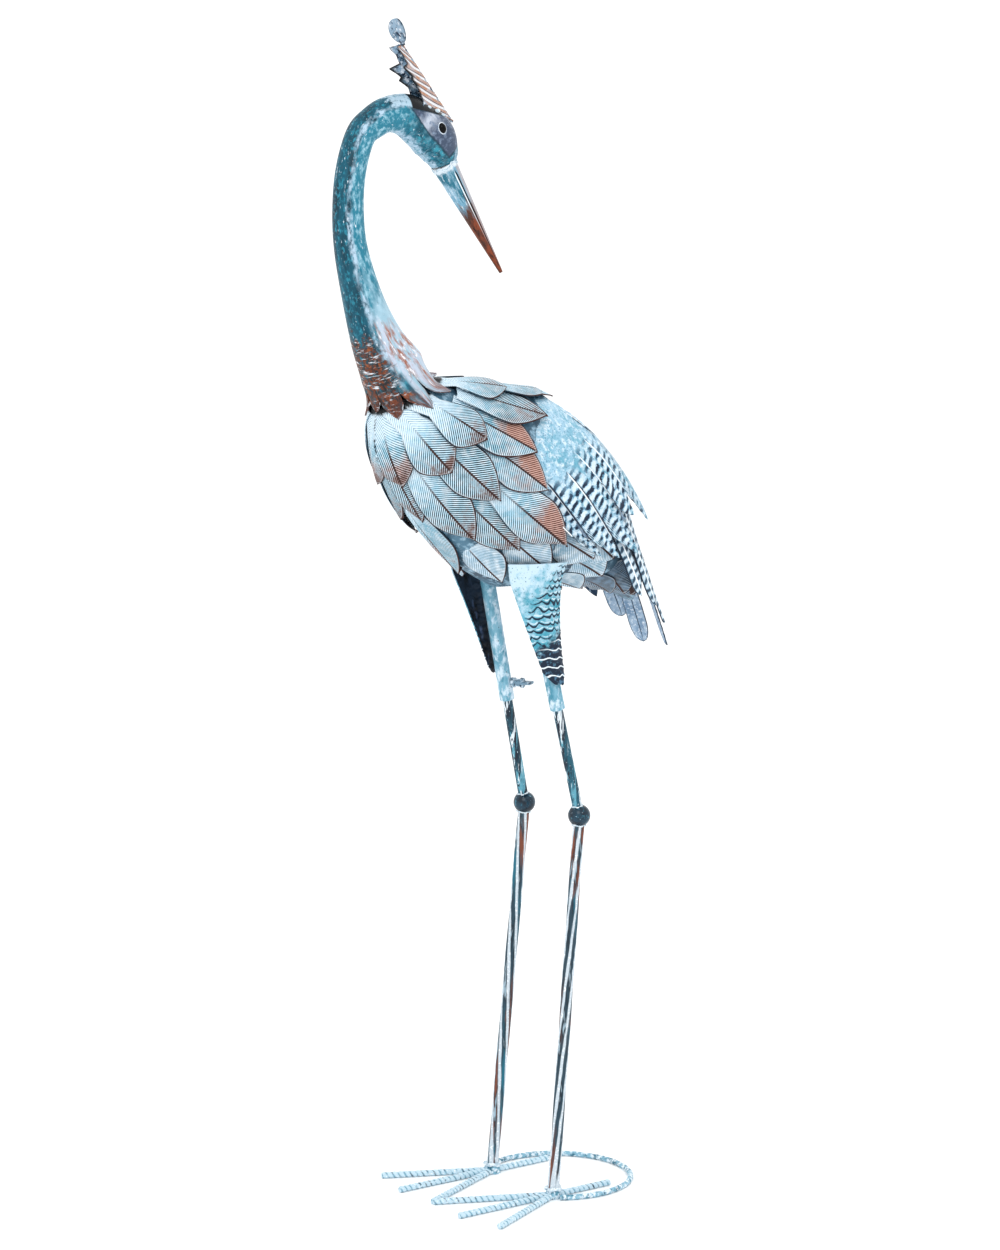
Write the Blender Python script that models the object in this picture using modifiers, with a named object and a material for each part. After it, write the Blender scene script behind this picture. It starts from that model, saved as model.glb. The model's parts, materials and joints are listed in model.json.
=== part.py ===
"""Crane garden statue: a sheet-metal bird on steel-rod legs, standing on two rod feet.

The bird faces -X, its left side is -Y and the ground is z = 0. Sizes are in metres.
"""
import math

import bmesh
import bpy
import numpy as np
from mathutils import Matrix, Vector
from mathutils.bvhtree import BVHTree

# General clearances and sheet
GAP = 0.0003
SHEET = 0.0011
LAYER_GAP = 0.0007
LAYER_SEARCH = 0.020
SETTLE_STEPS = 8
MIDDLE_GAP = 0.0008

# Leg line of the left side: from the ankle to the knee and on, bent back, to its top in the body
LEG_SPREAD = 0.095
KNEE_HEIGHT = 0.3511
KNEE_BACK = 0.0326
KNEE_SPREAD = 0.0838
UPPER_LEG_RISE = 0.2189
UPPER_LEG_RUN = 0.0491
LEG_TOP_SPREAD = 0.0690
KNEE = Vector((KNEE_BACK, -0.5 * KNEE_SPREAD, KNEE_HEIGHT))
LEG_TOP = Vector((KNEE_BACK - UPPER_LEG_RUN, -0.5 * LEG_TOP_SPREAD, KNEE_HEIGHT + UPPER_LEG_RISE))

# Body shell: an egg whose long axis runs in the middle plane, from the breast down to the rump
BREAST_FORWARD = 0.1301
BREAST_ABOVE_LEG = 0.1752
BREAST = Vector((LEG_TOP.x - BREAST_FORWARD, 0.0, LEG_TOP.z + BREAST_ABOVE_LEG))
BODY_TILT = math.radians(37.5)
BODY_LENGTH = 0.340
BODY_DEPTH = 0.174
BODY_WIDTH = 0.136
REAR_TAPER = 1.0
TAPER_START = 0.40
BELLY_SLOPE = 0.15
BELLY_SLOPE_START = 0.15
BELLY_RISE = 2.3
BELLY_RISE_START = 0.60
BELLY_RISE_MOST = 0.34
BACK_DROP = 1.45
BACK_DROP_END = 0.36
BACK_DROP_MOST = 0.42

# Leaf feathers: each row gives the share of the body's length at the tip and the angle from the back
FEATHER_WIDTH = 0.042
FEATHER_LENGTH = 0.088
FEATHER_TIP_LIFT = 0.0064
FEATHER_ROLL = 0.0021
FEATHER_ROOT_WIDTH = 0.52
FEATHER_WIDEST = 0.60
FEATHER_BLUNTNESS = 1.7
NECK_CLEARANCE = 0.009
FEATHER_RINGS = (
    ("a", ((0.253, 33), (0.228, 90), (0.210, 122), (0.172, 161))),
    ("b", ((0.405, 17), (0.362, 50), (0.365, 77), (0.349, 114), (0.388, 143), (0.278, 166))),
    ("c", ((0.441, 91), (0.570, 109), (0.495, 129), (0.480, 180))),
)

# Feathers that are one with the body shell: tip share, angle and length
BELLY_ROOT_DEPTH = 0.0030
BELLY_TIP_LIFT = 0.0068
BELLY_FEATHERS = (
    (0.610, 128, 0.070),
    (0.550, 156, 0.062),
    (0.697, 106, 0.056),
    (0.760, 92, 0.056),
    (0.770, 117, 0.046),
    (0.770, 150, 0.046),
    (0.770, 180, 0.046),
)

# Neck and head: centre line and radius from the shoulders up and over to the bill, measured from
# the breast: how far back, how far up, radius
NECK_LINE = (
    (0.0249, -0.0135, 0.0375),
    (0.0116, 0.0031, 0.0330),
    (0.0031, 0.0155, 0.0288),
    (-0.0114, 0.0392, 0.0230),
    (-0.0256, 0.0739, 0.0178),
    (-0.0376, 0.1168, 0.0146),
    (-0.0404, 0.1518, 0.0136),
    (-0.0372, 0.1849, 0.0132),
    (-0.0274, 0.2138, 0.0131),
    (-0.0143, 0.2255, 0.0141),
    (0.0013, 0.2327, 0.0155),
    (0.0196, 0.2323, 0.0186),
    (0.0347, 0.2238, 0.0198),
    (0.0481, 0.2138, 0.0212),
    (0.0561, 0.2011, 0.0172),
    (0.0598, 0.1916, 0.0124),
)
HEAD_START = 10
HEAD_NARROWING = 0.86
HEAD_BLEND = 0.025
PETALS = 8
PETAL_REACH = 0.050
PETAL_START = 0.74
PETAL_SPREAD = 0.94
PETAL_POINT = 2.2
PETAL_TIP_LIFT = 0.0030
PETAL_ROOT_LIFT = 0.0020

# Eyes, bill and crest, measured from the root of the bill
BILL_ROOT = BREAST + Vector((NECK_LINE[-1][0], 0.0, NECK_LINE[-1][1]))
EYE_RADIUS = 0.0042
EYE_CENTRE = BILL_ROOT + Vector((-0.0142, -0.0172, 0.0297))
BILL_TIP = BILL_ROOT + Vector((0.0619, 0.0, -0.0947))
BILL_ROOT_RADIUS = 0.0115
BILL_TIP_RADIUS = 0.0017
BILL_GROOVE = 0.16
BILL_NARROWING = 0.92
BILL_SEAT = 0.020
NECK_OVERRUN = 0.004
CREST_FOOT = BILL_ROOT + Vector((0.0102, 0.0, 0.0368))
CREST_WAIST = BILL_ROOT + Vector((-0.0416, 0.0, 0.1007))
CREST_TOP = BILL_ROOT + Vector((-0.0498, 0.0, 0.1232))
CREST_FOLD = math.radians(35)
CREST_LEAF_WIDTH = 0.023

# Wings and tail
WING_FRONT = 0.375
WING_TOP_ANGLE = 9
WING_LOW_ANGLE = 99
WING_FINGERS = (
    (0.61, 15),
    (0.83, 44),
    (0.745, 61),
    (0.81, 79),
    (0.75, 93),
    (0.69, 102),
)
WING_NOTCH = 0.085
WING_FLARE = 0.007
WING_RISE = 0.06
WING_RISE_START = 0.42
WING_RISE_LENGTH = 0.15
WING_FULLNESS = 1.02
WING_ROUNDNESS = 2.0
TAIL_FEATHERS = (
    (1.150, 0.0175, -0.0150, 12, 28),
    (1.070, 0.0300, -0.0070, 34, 42),
    (0.985, 0.0400, -0.0055, 56, 62),
    (0.905, 0.0500, -0.0110, 78, 78),
)
TAIL_ROOT = 0.70
TAIL_WIDTH = 0.0185
TAIL_LAYER = 0.0017
TAIL_ROUND = 0.88
TAIL_BOW = 0.006

# Legs
KNEE_RADIUS = 0.01025
LOWER_LEG_RADIUS = 0.0056
LOWER_LEG_RIBS = 6
LOWER_LEG_TWIST = math.radians(250)
LOWER_LEG_GROOVE = 0.14
UPPER_LEG_RADIUS = 0.0046
WELD_RIM = 0.0006
SOCKET_LENGTH = 0.120
SOCKET_END = LEG_TOP.z - SOCKET_LENGTH
SOCKET_RADIUS = 0.0068
SOCKET_GRIP = 0.032
SOCKET_FIT = 0.0003
SOCKET_IN_BODY = 0.012

# Thigh plates: half cones round the upper legs
THIGH_TOP_Z = LEG_TOP.z + 0.016
THIGH_LOW_Z = LEG_TOP.z - 0.0955
THIGH_STAND_OFF = 0.0012
THIGH_TOP_FRONT = 0.0350
THIGH_TOP_BACK = 0.0297
THIGH_TOP_BULGE = 0.0170
THIGH_LOW_FRONT = 0.0115
THIGH_LOW_BACK = 0.0106
THIGH_TOP_ANGLE = 80
THIGH_LOW_ANGLE = 62
THIGH_BACK_ANGLE = 45

# Clamp screws that hold the upper legs in their sockets
SCREW_Z = SOCKET_END + 0.0165
SCREW_ANGLE = math.radians(53)
SCREW_RADIUS = 0.0047
SCREW_BODY = 0.0125
SCREW_WING = 0.0085
SCREW_WING_WIDTH = 0.013
SCREW_WING_THICKNESS = 0.0028
SCREW_WING_ROOT = 0.004
SCREW_GAP = 0.0005

# Feet and hoop: ribbed rod lying on the ground
TOE_RADIUS = 0.0031
TOES = ((0.1054, 26), (0.1060, 0))
INNER_TOE_ANGLE = 25
BACK_TOE = 0.065
ANKLE_RADIUS = 0.0072
ANKLE_HEIGHT = 0.0080
HOOP_CENTRE_X = 0.039
HOOP_ROD_RADIUS = 0.0025
HOOP_STEPS = 24

# Fineness of the faceted solids
ROD_SIDES = 8
TUBE_RESOLUTION = 4

COLOURS = {
    "powder_blue_paint": ((0.50, 0.66, 0.74), 0.55, 0.35),
    "teal_paint": ((0.10, 0.36, 0.42), 0.45, 0.40),
    "rust_brown_paint": ((0.33, 0.13, 0.07), 0.60, 0.30),
    "pale_steel_paint": ((0.62, 0.72, 0.78), 0.50, 0.45),
    "dark_enamel": ((0.03, 0.09, 0.12), 0.20, 0.30),
    "black_glass": ((0.01, 0.01, 0.01), 0.08, 0.0),
}

BODY_AXIS = Vector((math.cos(BODY_TILT), 0.0, -math.sin(BODY_TILT)))
BODY_BACK = Vector((math.sin(BODY_TILT), 0.0, math.cos(BODY_TILT)))


def clear_scene():
    for item in list(bpy.data.objects):
        bpy.data.objects.remove(item, do_unlink=True)


def make_collection(name):
    collection = bpy.data.collections.new(name)
    bpy.context.scene.collection.children.link(collection)
    return collection


def material(name):
    if name in bpy.data.materials:
        return bpy.data.materials[name]
    colour, roughness, metallic = COLOURS[name]
    paint = bpy.data.materials.new(name)
    paint.use_nodes = True
    shader = paint.node_tree.nodes["Principled BSDF"]
    shader.inputs["Base Color"].default_value = (*colour, 1.0)
    shader.inputs["Roughness"].default_value = roughness
    shader.inputs["Metallic"].default_value = metallic
    return paint


def add_object(name, mesh_data, paint):
    piece = bpy.data.objects.new(name, mesh_data)
    STATUE.objects.link(piece)
    piece.parent = STAND
    if paint:
        piece.data.materials.append(material(paint))
    return piece


def add_cutter(name, mesh_data):
    cutter = bpy.data.objects.new(name, mesh_data)
    CUTTERS.objects.link(cutter)
    cutter.parent = STAND
    cutter.hide_render = True
    cutter.display_type = "WIRE"
    return cutter


def mesh_from(shape, name):
    mesh_data = bpy.data.meshes.new(name)
    shape.to_mesh(mesh_data)
    shape.free()
    return mesh_data


def smooth(piece, angle=40):
    piece.data.shade_smooth()
    piece.data.set_sharp_from_angle(angle=math.radians(angle))


def boolean(piece, other, operation):
    step = piece.modifiers.new(operation.lower(), "BOOLEAN")
    step.operation = operation
    step.object = other
    step.solver = "EXACT"


def girth(share):
    """Radius of the body shell, as a share of its largest, at a share of its length."""
    rear = max(share - TAPER_START, 0.0)
    return 2.0 * math.sqrt(max(share * (1.0 - share), 0.0)) * (1.0 - REAR_TAPER * rear * rear)


def belly_depth(share):
    """Depth of the underside as a share of the back's: the belly runs level under the rump."""
    slope = BELLY_SLOPE * max(share - BELLY_SLOPE_START, 0.0)
    return 1.0 - slope - BELLY_RISE * min(max(share - BELLY_RISE_START, 0.0), BELLY_RISE_MOST)


def back_depth(share):
    """Depth of the back as a share of the egg's: it slopes down to the neck."""
    return 1.0 - min(BACK_DROP * max(BACK_DROP_END - share, 0.0), BACK_DROP_MOST)


def ring_point(share, angle, radius):
    """A point round the body axis; the angle runs from the back down the left side to the belly."""
    up = 0.5 * BODY_DEPTH * radius * math.cos(angle)
    up *= belly_depth(share) if up < 0.0 else back_depth(share)
    out = 0.5 * BODY_WIDTH * radius * math.sin(angle)
    return BREAST + BODY_AXIS * (share * BODY_LENGTH) + BODY_BACK * up - Vector((0.0, out, 0.0))


def shell_point(share, angle, lift=0.0):
    """A point on the body shell, or above it by the lift."""
    here = min(max(share, 0.004), 0.996)
    point = ring_point(here, angle, girth(here))
    if not lift:
        return point
    step = 0.002
    along = ring_point(here + step, angle, girth(here + step)) - point
    around = ring_point(here, angle + step, girth(here)) - point
    return point + around.cross(along).normalized() * lift


def shell_half_width(x, z):
    """Half the width of the body shell at a point of the middle plane, or zero outside it."""
    place = Vector((x, 0.0, z)) - BREAST
    share = place.dot(BODY_AXIS) / BODY_LENGTH
    if not 0.0 < share < 1.0:
        return 0.0
    radius = girth(share)
    height = place.dot(BODY_BACK) / (0.5 * BODY_DEPTH * radius)
    height /= belly_depth(share) if height < 0.0 else back_depth(share)
    return 0.5 * BODY_WIDTH * radius * math.sqrt(max(1.0 - height * height, 0.0))


def lay_down(piece):
    """Adds a finished piece to the stack that later sheets have to lie on."""
    LAID.append(BVHTree.FromObject(piece, bpy.context.evaluated_depsgraph_get()))


def height_above(point, outward):
    """How far the pieces laid so far stand above a point, looking along an outward direction."""
    highest = -LAYER_SEARCH
    for tree in LAID:
        hit, _, _, distance = tree.ray_cast(point + outward * LAYER_SEARCH, -outward, 2.0 * LAYER_SEARCH)
        if hit:
            highest = max(highest, LAYER_SEARCH - distance)
    return highest


def settle(shape, outward=None):
    """Raises the corners of a sheet until each of its faces clears everything laid below it."""
    shape.normal_update()
    raises = {}
    for face in shape.faces:
        direction = outward or face.normal
        corners = [corner.co for corner in face.verts]
        first, second, third, fourth = (corners + corners[-1:])[:4]
        twist = 0.25 * abs((first - second + third - fourth).dot(direction)) if len(corners) == 4 else 0.0
        lack = 0.0
        for step in range(SETTLE_STEPS + 1):
            left = first.lerp(fourth, step / SETTLE_STEPS)
            right = second.lerp(third, step / SETTLE_STEPS)
            for place in range(SETTLE_STEPS + 1):
                here = left.lerp(right, place / SETTLE_STEPS)
                lack = max(lack, height_above(here, direction) + LAYER_GAP + twist)
        for corner in face.verts:
            raises[corner] = max(raises.get(corner, 0.0), lack)
    directions = {corner: (outward or corner.normal).copy() for corner in raises}
    for corner, lack in raises.items():
        corner.co += directions[corner] * lack


def plate(name, surface, across, along, paint, pair=True, laid=True, outward=None):
    """A bent sheet: a flat grid laid on surface(u, v), u from -1 to 1 and v from 0 to 1, then thickened.

    A pair is a left sheet and its mirror image, neither of which crosses the middle plane.
    """
    shape = bmesh.new()
    bmesh.ops.create_grid(shape, x_segments=across, y_segments=along, size=0.5)
    for vertex in shape.verts:
        vertex.co = surface(vertex.co.x * 2.0, vertex.co.y + 0.5)
    bmesh.ops.remove_doubles(shape, verts=shape.verts, dist=0.00002)
    if laid:
        settle(shape, outward)
    if pair:
        for vertex in shape.verts:
            vertex.co.y = min(vertex.co.y, -MIDDLE_GAP)
    pieces = []
    for side in ("left", "right") if pair else ("",):
        if side == "right":
            for vertex in shape.verts:
                vertex.co.y = -vertex.co.y
            bmesh.ops.reverse_faces(shape, faces=shape.faces)
        mesh_data = bpy.data.meshes.new(name)
        shape.to_mesh(mesh_data)
        piece = add_object(name + "_" + side if side else name, mesh_data, paint)
        wall = piece.modifiers.new("sheet", "SOLIDIFY")
        wall.thickness = SHEET
        wall.offset = 1.0
        pieces.append(piece)
    shape.free()
    return pieces


def smooth_line(rows, steps):
    """Catmull-Rom curve through rows of numbers, with a fixed count of steps between rows."""
    table = np.array(rows, dtype=float)
    ends = np.vstack([2 * table[0] - table[1], table, 2 * table[-1] - table[-2]])
    points = []
    for place in range(len(table) - 1):
        before, start, stop, after = ends[place:place + 4]
        for step in range(steps):
            part = step / steps
            points.append(0.5 * (2 * start + (stop - before) * part
                                 + (2 * before - 5 * start + 4 * stop - after) * part ** 2
                                 + (3 * start - before - 3 * stop + after) * part ** 3))
    points.append(table[-1])
    return points


def tube_mesh(name, points, radii, resolution):
    """A closed tube from a poly curve with a bevel, its caps welded."""
    curve = bpy.data.curves.new(name, "CURVE")
    curve.dimensions = "3D"
    curve.bevel_depth = 1.0
    curve.bevel_resolution = resolution
    curve.use_fill_caps = True
    spline = curve.splines.new("POLY")
    spline.points.add(len(points) - 1)
    for knot, point, radius in zip(spline.points, points, radii):
        knot.co = (*point, 1.0)
        knot.radius = radius
    guide = bpy.data.objects.new(name + "_guide", curve)
    bpy.context.scene.collection.objects.link(guide)
    evaluated = guide.evaluated_get(bpy.context.evaluated_depsgraph_get())
    mesh_data = bpy.data.meshes.new_from_object(evaluated)
    bpy.data.objects.remove(guide, do_unlink=True)
    shape = bmesh.new()
    shape.from_mesh(mesh_data)
    bmesh.ops.remove_doubles(shape, verts=shape.verts, dist=0.00002)
    bmesh.ops.recalc_face_normals(shape, faces=shape.faces)
    shape.to_mesh(mesh_data)
    shape.free()
    return mesh_data


def place_along(start, end):
    """Matrix that lays local +Z from start towards end, centred between them, with a flat side down."""
    direction = (end - start).normalized()
    turn = direction.to_track_quat("Z", "Y").to_matrix().to_4x4()
    return Matrix.Translation((start + end) * 0.5) @ turn


def add_rod(shape, start, end, radius, sides, end_radius=None):
    """Adds a straight rod to a shape; one flat side faces down when the rod lies level."""
    half_side = Matrix.Rotation(math.pi / sides, 4, "Z")
    bmesh.ops.create_cone(
        shape, cap_ends=True, segments=sides, radius1=radius,
        radius2=radius if end_radius is None else end_radius,
        depth=(end - start).length, matrix=place_along(start, end) @ half_side)


def rod(name, start, end, radius, sides, paint):
    shape = bmesh.new()
    add_rod(shape, start, end, radius, sides)
    piece = add_object(name, mesh_from(shape, name), paint)
    smooth(piece)
    return piece


def other_side(point, side):
    return Vector((point.x, -point.y if side == "right" else point.y, point.z))


def shell_mesh(name, lift):
    """The egg of the body shell, grown outwards by the lift."""
    shape = bmesh.new()
    bmesh.ops.create_uvsphere(shape, u_segments=24, v_segments=14, radius=1.0)
    for vertex in shape.verts:
        x, y, z = vertex.co
        share = (1.0 - z) / 2.0
        angle = math.atan2(y, x)
        if share < 0.002:
            vertex.co = BREAST - BODY_AXIS * lift
        elif share > 0.998:
            vertex.co = BREAST + BODY_AXIS * (BODY_LENGTH + lift)
        else:
            vertex.co = shell_point(share, angle, lift)
    bmesh.ops.reverse_faces(shape, faces=shape.faces)
    return mesh_from(shape, name)


def feather_surface(tip_share, angle, length, root_lift, tip_lift, clear_neck=False):
    """Surface of one leaf feather, bent round the body: narrow root, broad blade, blunt point."""
    shares = np.linspace(0.004, 0.996, 200)
    points = [shell_point(share, angle) for share in shares]
    steps = [(b - a).length for a, b in zip(points, points[1:])]
    lengths = np.concatenate([[0.0], np.cumsum(steps)])
    tip = float(np.interp(tip_share, shares, lengths))
    root = max(tip - length, 0.0)
    if clear_neck:
        clear = NECK_FOOT_RADIUS + NECK_CLEARANCE
        for turn in (-0.35, 0.0, 0.35):
            outside = [place for place, share in zip(lengths, shares)
                       if (shell_point(share, angle + turn) - neck_foot()).length > clear]
            root = max(root, outside[0])

    def surface(u, v):
        share = float(np.interp(root + (tip - root) * v, lengths, shares))
        width = leaf_width(v) * 0.5 * FEATHER_WIDTH
        around = (ring_point(share, angle + 0.01, girth(share))
                  - ring_point(share, angle, girth(share))).length / 0.01
        turn = u * width / around
        roll = FEATHER_ROLL * u * leaf_width(v) * min(v * 5.0, 1.0)
        if angle > math.radians(175):
            roll = -abs(roll)
        lift = root_lift + (tip_lift - root_lift) * v ** 1.2 + roll
        return shell_point(share, angle + turn, max(lift, min(root_lift, GAP)))

    return surface


def leaf_width(v):
    """Width of a leaf feather, as a share of its widest, from root to point."""
    if v < FEATHER_WIDEST:
        swell = math.sin(0.5 * math.pi * v / FEATHER_WIDEST)
        return FEATHER_ROOT_WIDTH + (1.0 - FEATHER_ROOT_WIDTH) * swell
    return max(1.0 - ((v - FEATHER_WIDEST) / (1.0 - FEATHER_WIDEST)) ** FEATHER_BLUNTNESS, 0.0)


def build_feathers():
    """Leaf feathers, laid from the rump to the neck and from the belly up, each over the last ones."""
    for ring, leaves in reversed(FEATHER_RINGS):
        for count, (tip_share, degrees) in reversed(list(enumerate(leaves, start=1))):
            surface = feather_surface(tip_share, math.radians(degrees), FEATHER_LENGTH, GAP,
                                      FEATHER_TIP_LIFT, clear_neck=ring == "a")
            pair = degrees != 180
            name = "feather_%s%d" % (ring, count) + ("" if pair else "_middle")
            for piece in plate(name, surface, 2, 6, "powder_blue_paint", pair):
                lay_down(piece)


def build_body():
    """Body shell with the belly feathers welded on it, and pockets for the leg sockets."""
    body = add_object("body_shell", shell_mesh("body_shell", 0.0), "powder_blue_paint")
    for tip_share, degrees, length in BELLY_FEATHERS:
        surface = feather_surface(tip_share, math.radians(degrees), length, -BELLY_ROOT_DEPTH,
                                  BELLY_TIP_LIFT)
        name = "belly_feather_%d_%d" % (1000 * tip_share, degrees)
        for feather in plate(name, surface, 2, 4, None, degrees != 180, laid=False):
            weld(body, feather)
    for side in ("left", "right"):
        shape = bmesh.new()
        add_rod(shape, other_side(leg_point(SOCKET_END - 0.02), side),
                other_side(leg_point(1.0, SOCKET_IN_BODY + GAP), side), SOCKET_RADIUS + GAP, 16)
        pocket = add_cutter("socket_pocket_" + side, mesh_from(shape, "socket_pocket"))
        boolean(body, pocket, "DIFFERENCE")
    smooth(body, 35)
    lay_down(body)


def weld(body, feather):
    """Moves a feather to the cutters and joins it to the body."""
    STATUE.objects.unlink(feather)
    CUTTERS.objects.link(feather)
    feather.hide_render = True
    feather.display_type = "WIRE"
    boolean(body, feather, "UNION")


def neck_foot():
    back, up, _ = NECK_LINE[1]
    return BREAST + Vector((back, 0.0, up))


NECK_FOOT_RADIUS = NECK_LINE[1][2]


def petal_surface(middle):
    """One petal of the neck's cut lower edge, spread on the body round the neck's foot."""
    foot = neck_foot() - BREAST
    foot_up = foot.dot(BODY_BACK)

    def surface(u, v):
        start = NECK_FOOT_RADIUS * PETAL_START
        reach = start + (PETAL_REACH - start) * v
        spread = math.pi / PETALS * PETAL_SPREAD * (1.0 - v ** PETAL_POINT)
        angle = middle + spread * u
        up = foot_up + reach * math.cos(angle)
        out = reach * math.sin(angle)
        wide = math.hypot(up / (0.5 * BODY_DEPTH), out / (0.5 * BODY_WIDTH))
        share = 0.5 * (1.0 - math.sqrt(max(1.0 - min(wide, 0.99) ** 2, 0.0)))
        around = math.atan2(out / (0.5 * BODY_WIDTH), up / (0.5 * BODY_DEPTH))
        lift = PETAL_TIP_LIFT + PETAL_ROOT_LIFT * (1.0 - v) ** 2
        return shell_point(share, around, lift)

    return surface


def build_neck():
    """Neck tube and head in one, flared at the foot, where its edge is cut into petals."""
    line = smooth_line(NECK_LINE, 2)
    points = [BREAST + Vector((back, 0.0, up)) for back, up, _ in line]
    radii = [radius for _, _, radius in line]
    points[-1] = points[-1] + bill_aim() * NECK_OVERRUN
    mesh_data = tube_mesh("neck_and_head", points, radii, TUBE_RESOLUTION)
    head_start = BREAST.x + NECK_LINE[HEAD_START][0]
    half_way = BREAST.z + 0.5 * NECK_LINE[HEAD_START][1]
    for vertex in mesh_data.vertices:
        if vertex.co.z > half_way:
            into_head = min(max((vertex.co.x - head_start) / HEAD_BLEND, 0.0), 1.0)
            vertex.co.y *= 1.0 - (1.0 - HEAD_NARROWING) * into_head
    neck = add_object("neck_and_head", mesh_data, "teal_paint")
    seat = add_cutter("neck_seat", shell_mesh("neck_seat", GAP))
    boolean(neck, seat, "DIFFERENCE")
    for count in range(PETALS):
        middle = 2.0 * math.pi * (count + 0.5) / PETALS
        petal, = plate("petal_%d" % (count + 1), petal_surface(middle), 2, 4, None, pair=False)
        weld(neck, petal)
    shape = bmesh.new()
    add_rod(shape, BILL_ROOT, BILL_ROOT + bill_aim() * BILL_SEAT, 1.6 * NECK_LINE[-1][2], 16)
    boolean(neck, add_cutter("bill_seat", mesh_from(shape, "bill_seat")), "DIFFERENCE")
    for side in ("left", "right"):
        shape = bmesh.new()
        bmesh.ops.create_uvsphere(shape, u_segments=10, v_segments=6, radius=EYE_RADIUS + GAP,
                                  matrix=Matrix.Translation(other_side(EYE_CENTRE, side)))
        hollow = add_cutter("eye_hollow_" + side, mesh_from(shape, "eye_hollow"))
        boolean(neck, hollow, "DIFFERENCE")
    smooth(neck, 50)


def build_eyes():
    for side in ("left", "right"):
        shape = bmesh.new()
        bmesh.ops.create_uvsphere(shape, u_segments=10, v_segments=6, radius=EYE_RADIUS,
                                  matrix=Matrix.Translation(other_side(EYE_CENTRE, side)))
        piece = add_object("eye_" + side, mesh_from(shape, "eye"), "black_glass")
        smooth(piece, 60)


def bill_aim():
    return (BILL_TIP - BILL_ROOT).normalized()


def build_bill():
    """One tapered piece with a groove along each side where the two halves of the bill meet."""
    aim = bill_aim()
    start = BILL_ROOT + aim * GAP
    length = (BILL_TIP - start).length
    shape = bmesh.new()
    bmesh.ops.create_cone(shape, cap_ends=True, segments=16, radius1=BILL_ROOT_RADIUS,
                          radius2=BILL_TIP_RADIUS, depth=length)
    for vertex in shape.verts:
        vertex.co.y *= 1.0 - BILL_GROOVE if abs(vertex.co.x) < 0.0001 else BILL_NARROWING
        vertex.co.z += 0.5 * length
    turn = Matrix((Vector((0.0, 1.0, 0.0)).cross(aim), (0.0, 1.0, 0.0), aim)).transposed()
    bmesh.ops.transform(shape, matrix=Matrix.Translation(start) @ turn.to_4x4(), verts=shape.verts)
    piece = add_object("bill", mesh_from(shape, "bill"), "rust_brown_paint")
    smooth(piece, 30)


def crest_width(v):
    """How far the crest reaches back from its folded rib, from foot to waist: a fringe of fingers."""
    fringe = ((0.0, 0.0012), (0.10, 0.0060), (0.20, 0.0150), (0.32, 0.0165), (0.44, 0.0150),
              (0.55, 0.0245), (0.60, 0.0220), (0.70, 0.0270), (0.76, 0.0120), (0.86, 0.0115),
              (0.985, 0.0140), (1.0, 0.0032))
    shares, widths = zip(*fringe)
    return float(np.interp(v, shares, widths))


def build_crest():
    """Folded sheet with a fringe of fingers on each side and a round leaf at the top."""
    waist_share = 0.74

    def surface(u, v):
        out = (u + 1.0) * 0.5
        if v <= waist_share:
            part = v / waist_share
            rib = CREST_FOOT.lerp(CREST_WAIST, part)
            width = crest_width(part) * out
            back = width * math.cos(CREST_FOLD)
            return rib + Vector((-back, -0.0002 - width * math.sin(CREST_FOLD), 0.0))
        part = (v - waist_share) / (1.0 - waist_share)
        rib = CREST_WAIST.lerp(CREST_TOP, part)
        width = 0.5 * CREST_LEAF_WIDTH * math.sin(math.pi * part ** 0.8) * out
        width += 0.0032 * (1.0 - part) * out
        return rib + Vector((-width * 0.2, -0.0002 - width, 0.0))

    shape = bmesh.new()
    bmesh.ops.create_grid(shape, x_segments=2, y_segments=20, size=0.5)
    for vertex in shape.verts:
        vertex.co = surface(vertex.co.x * 2.0, vertex.co.y + 0.5)
        if vertex.co.y > -0.00021:
            vertex.co.y = 0.0
    bmesh.ops.remove_doubles(shape, verts=shape.verts, dist=0.00002)
    crest = add_object("crest", mesh_from(shape, "crest"), "powder_blue_paint")
    half = crest.modifiers.new("fold", "MIRROR")
    half.use_axis = (False, True, False)
    half.merge_threshold = 0.00002
    wall = crest.modifiers.new("sheet", "SOLIDIFY")
    wall.thickness = SHEET
    wall.offset = 0.0


def wing_radius(share):
    """Radius of a wing as a share of the shell's largest: it stands off the rump more and more."""
    rise = min(max((share - WING_RISE_START) / WING_RISE_LENGTH, 0.0), 1.0)
    return WING_FULLNESS + WING_RISE * rise - WING_ROUNDNESS * (share - 0.5) ** 2


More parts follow.
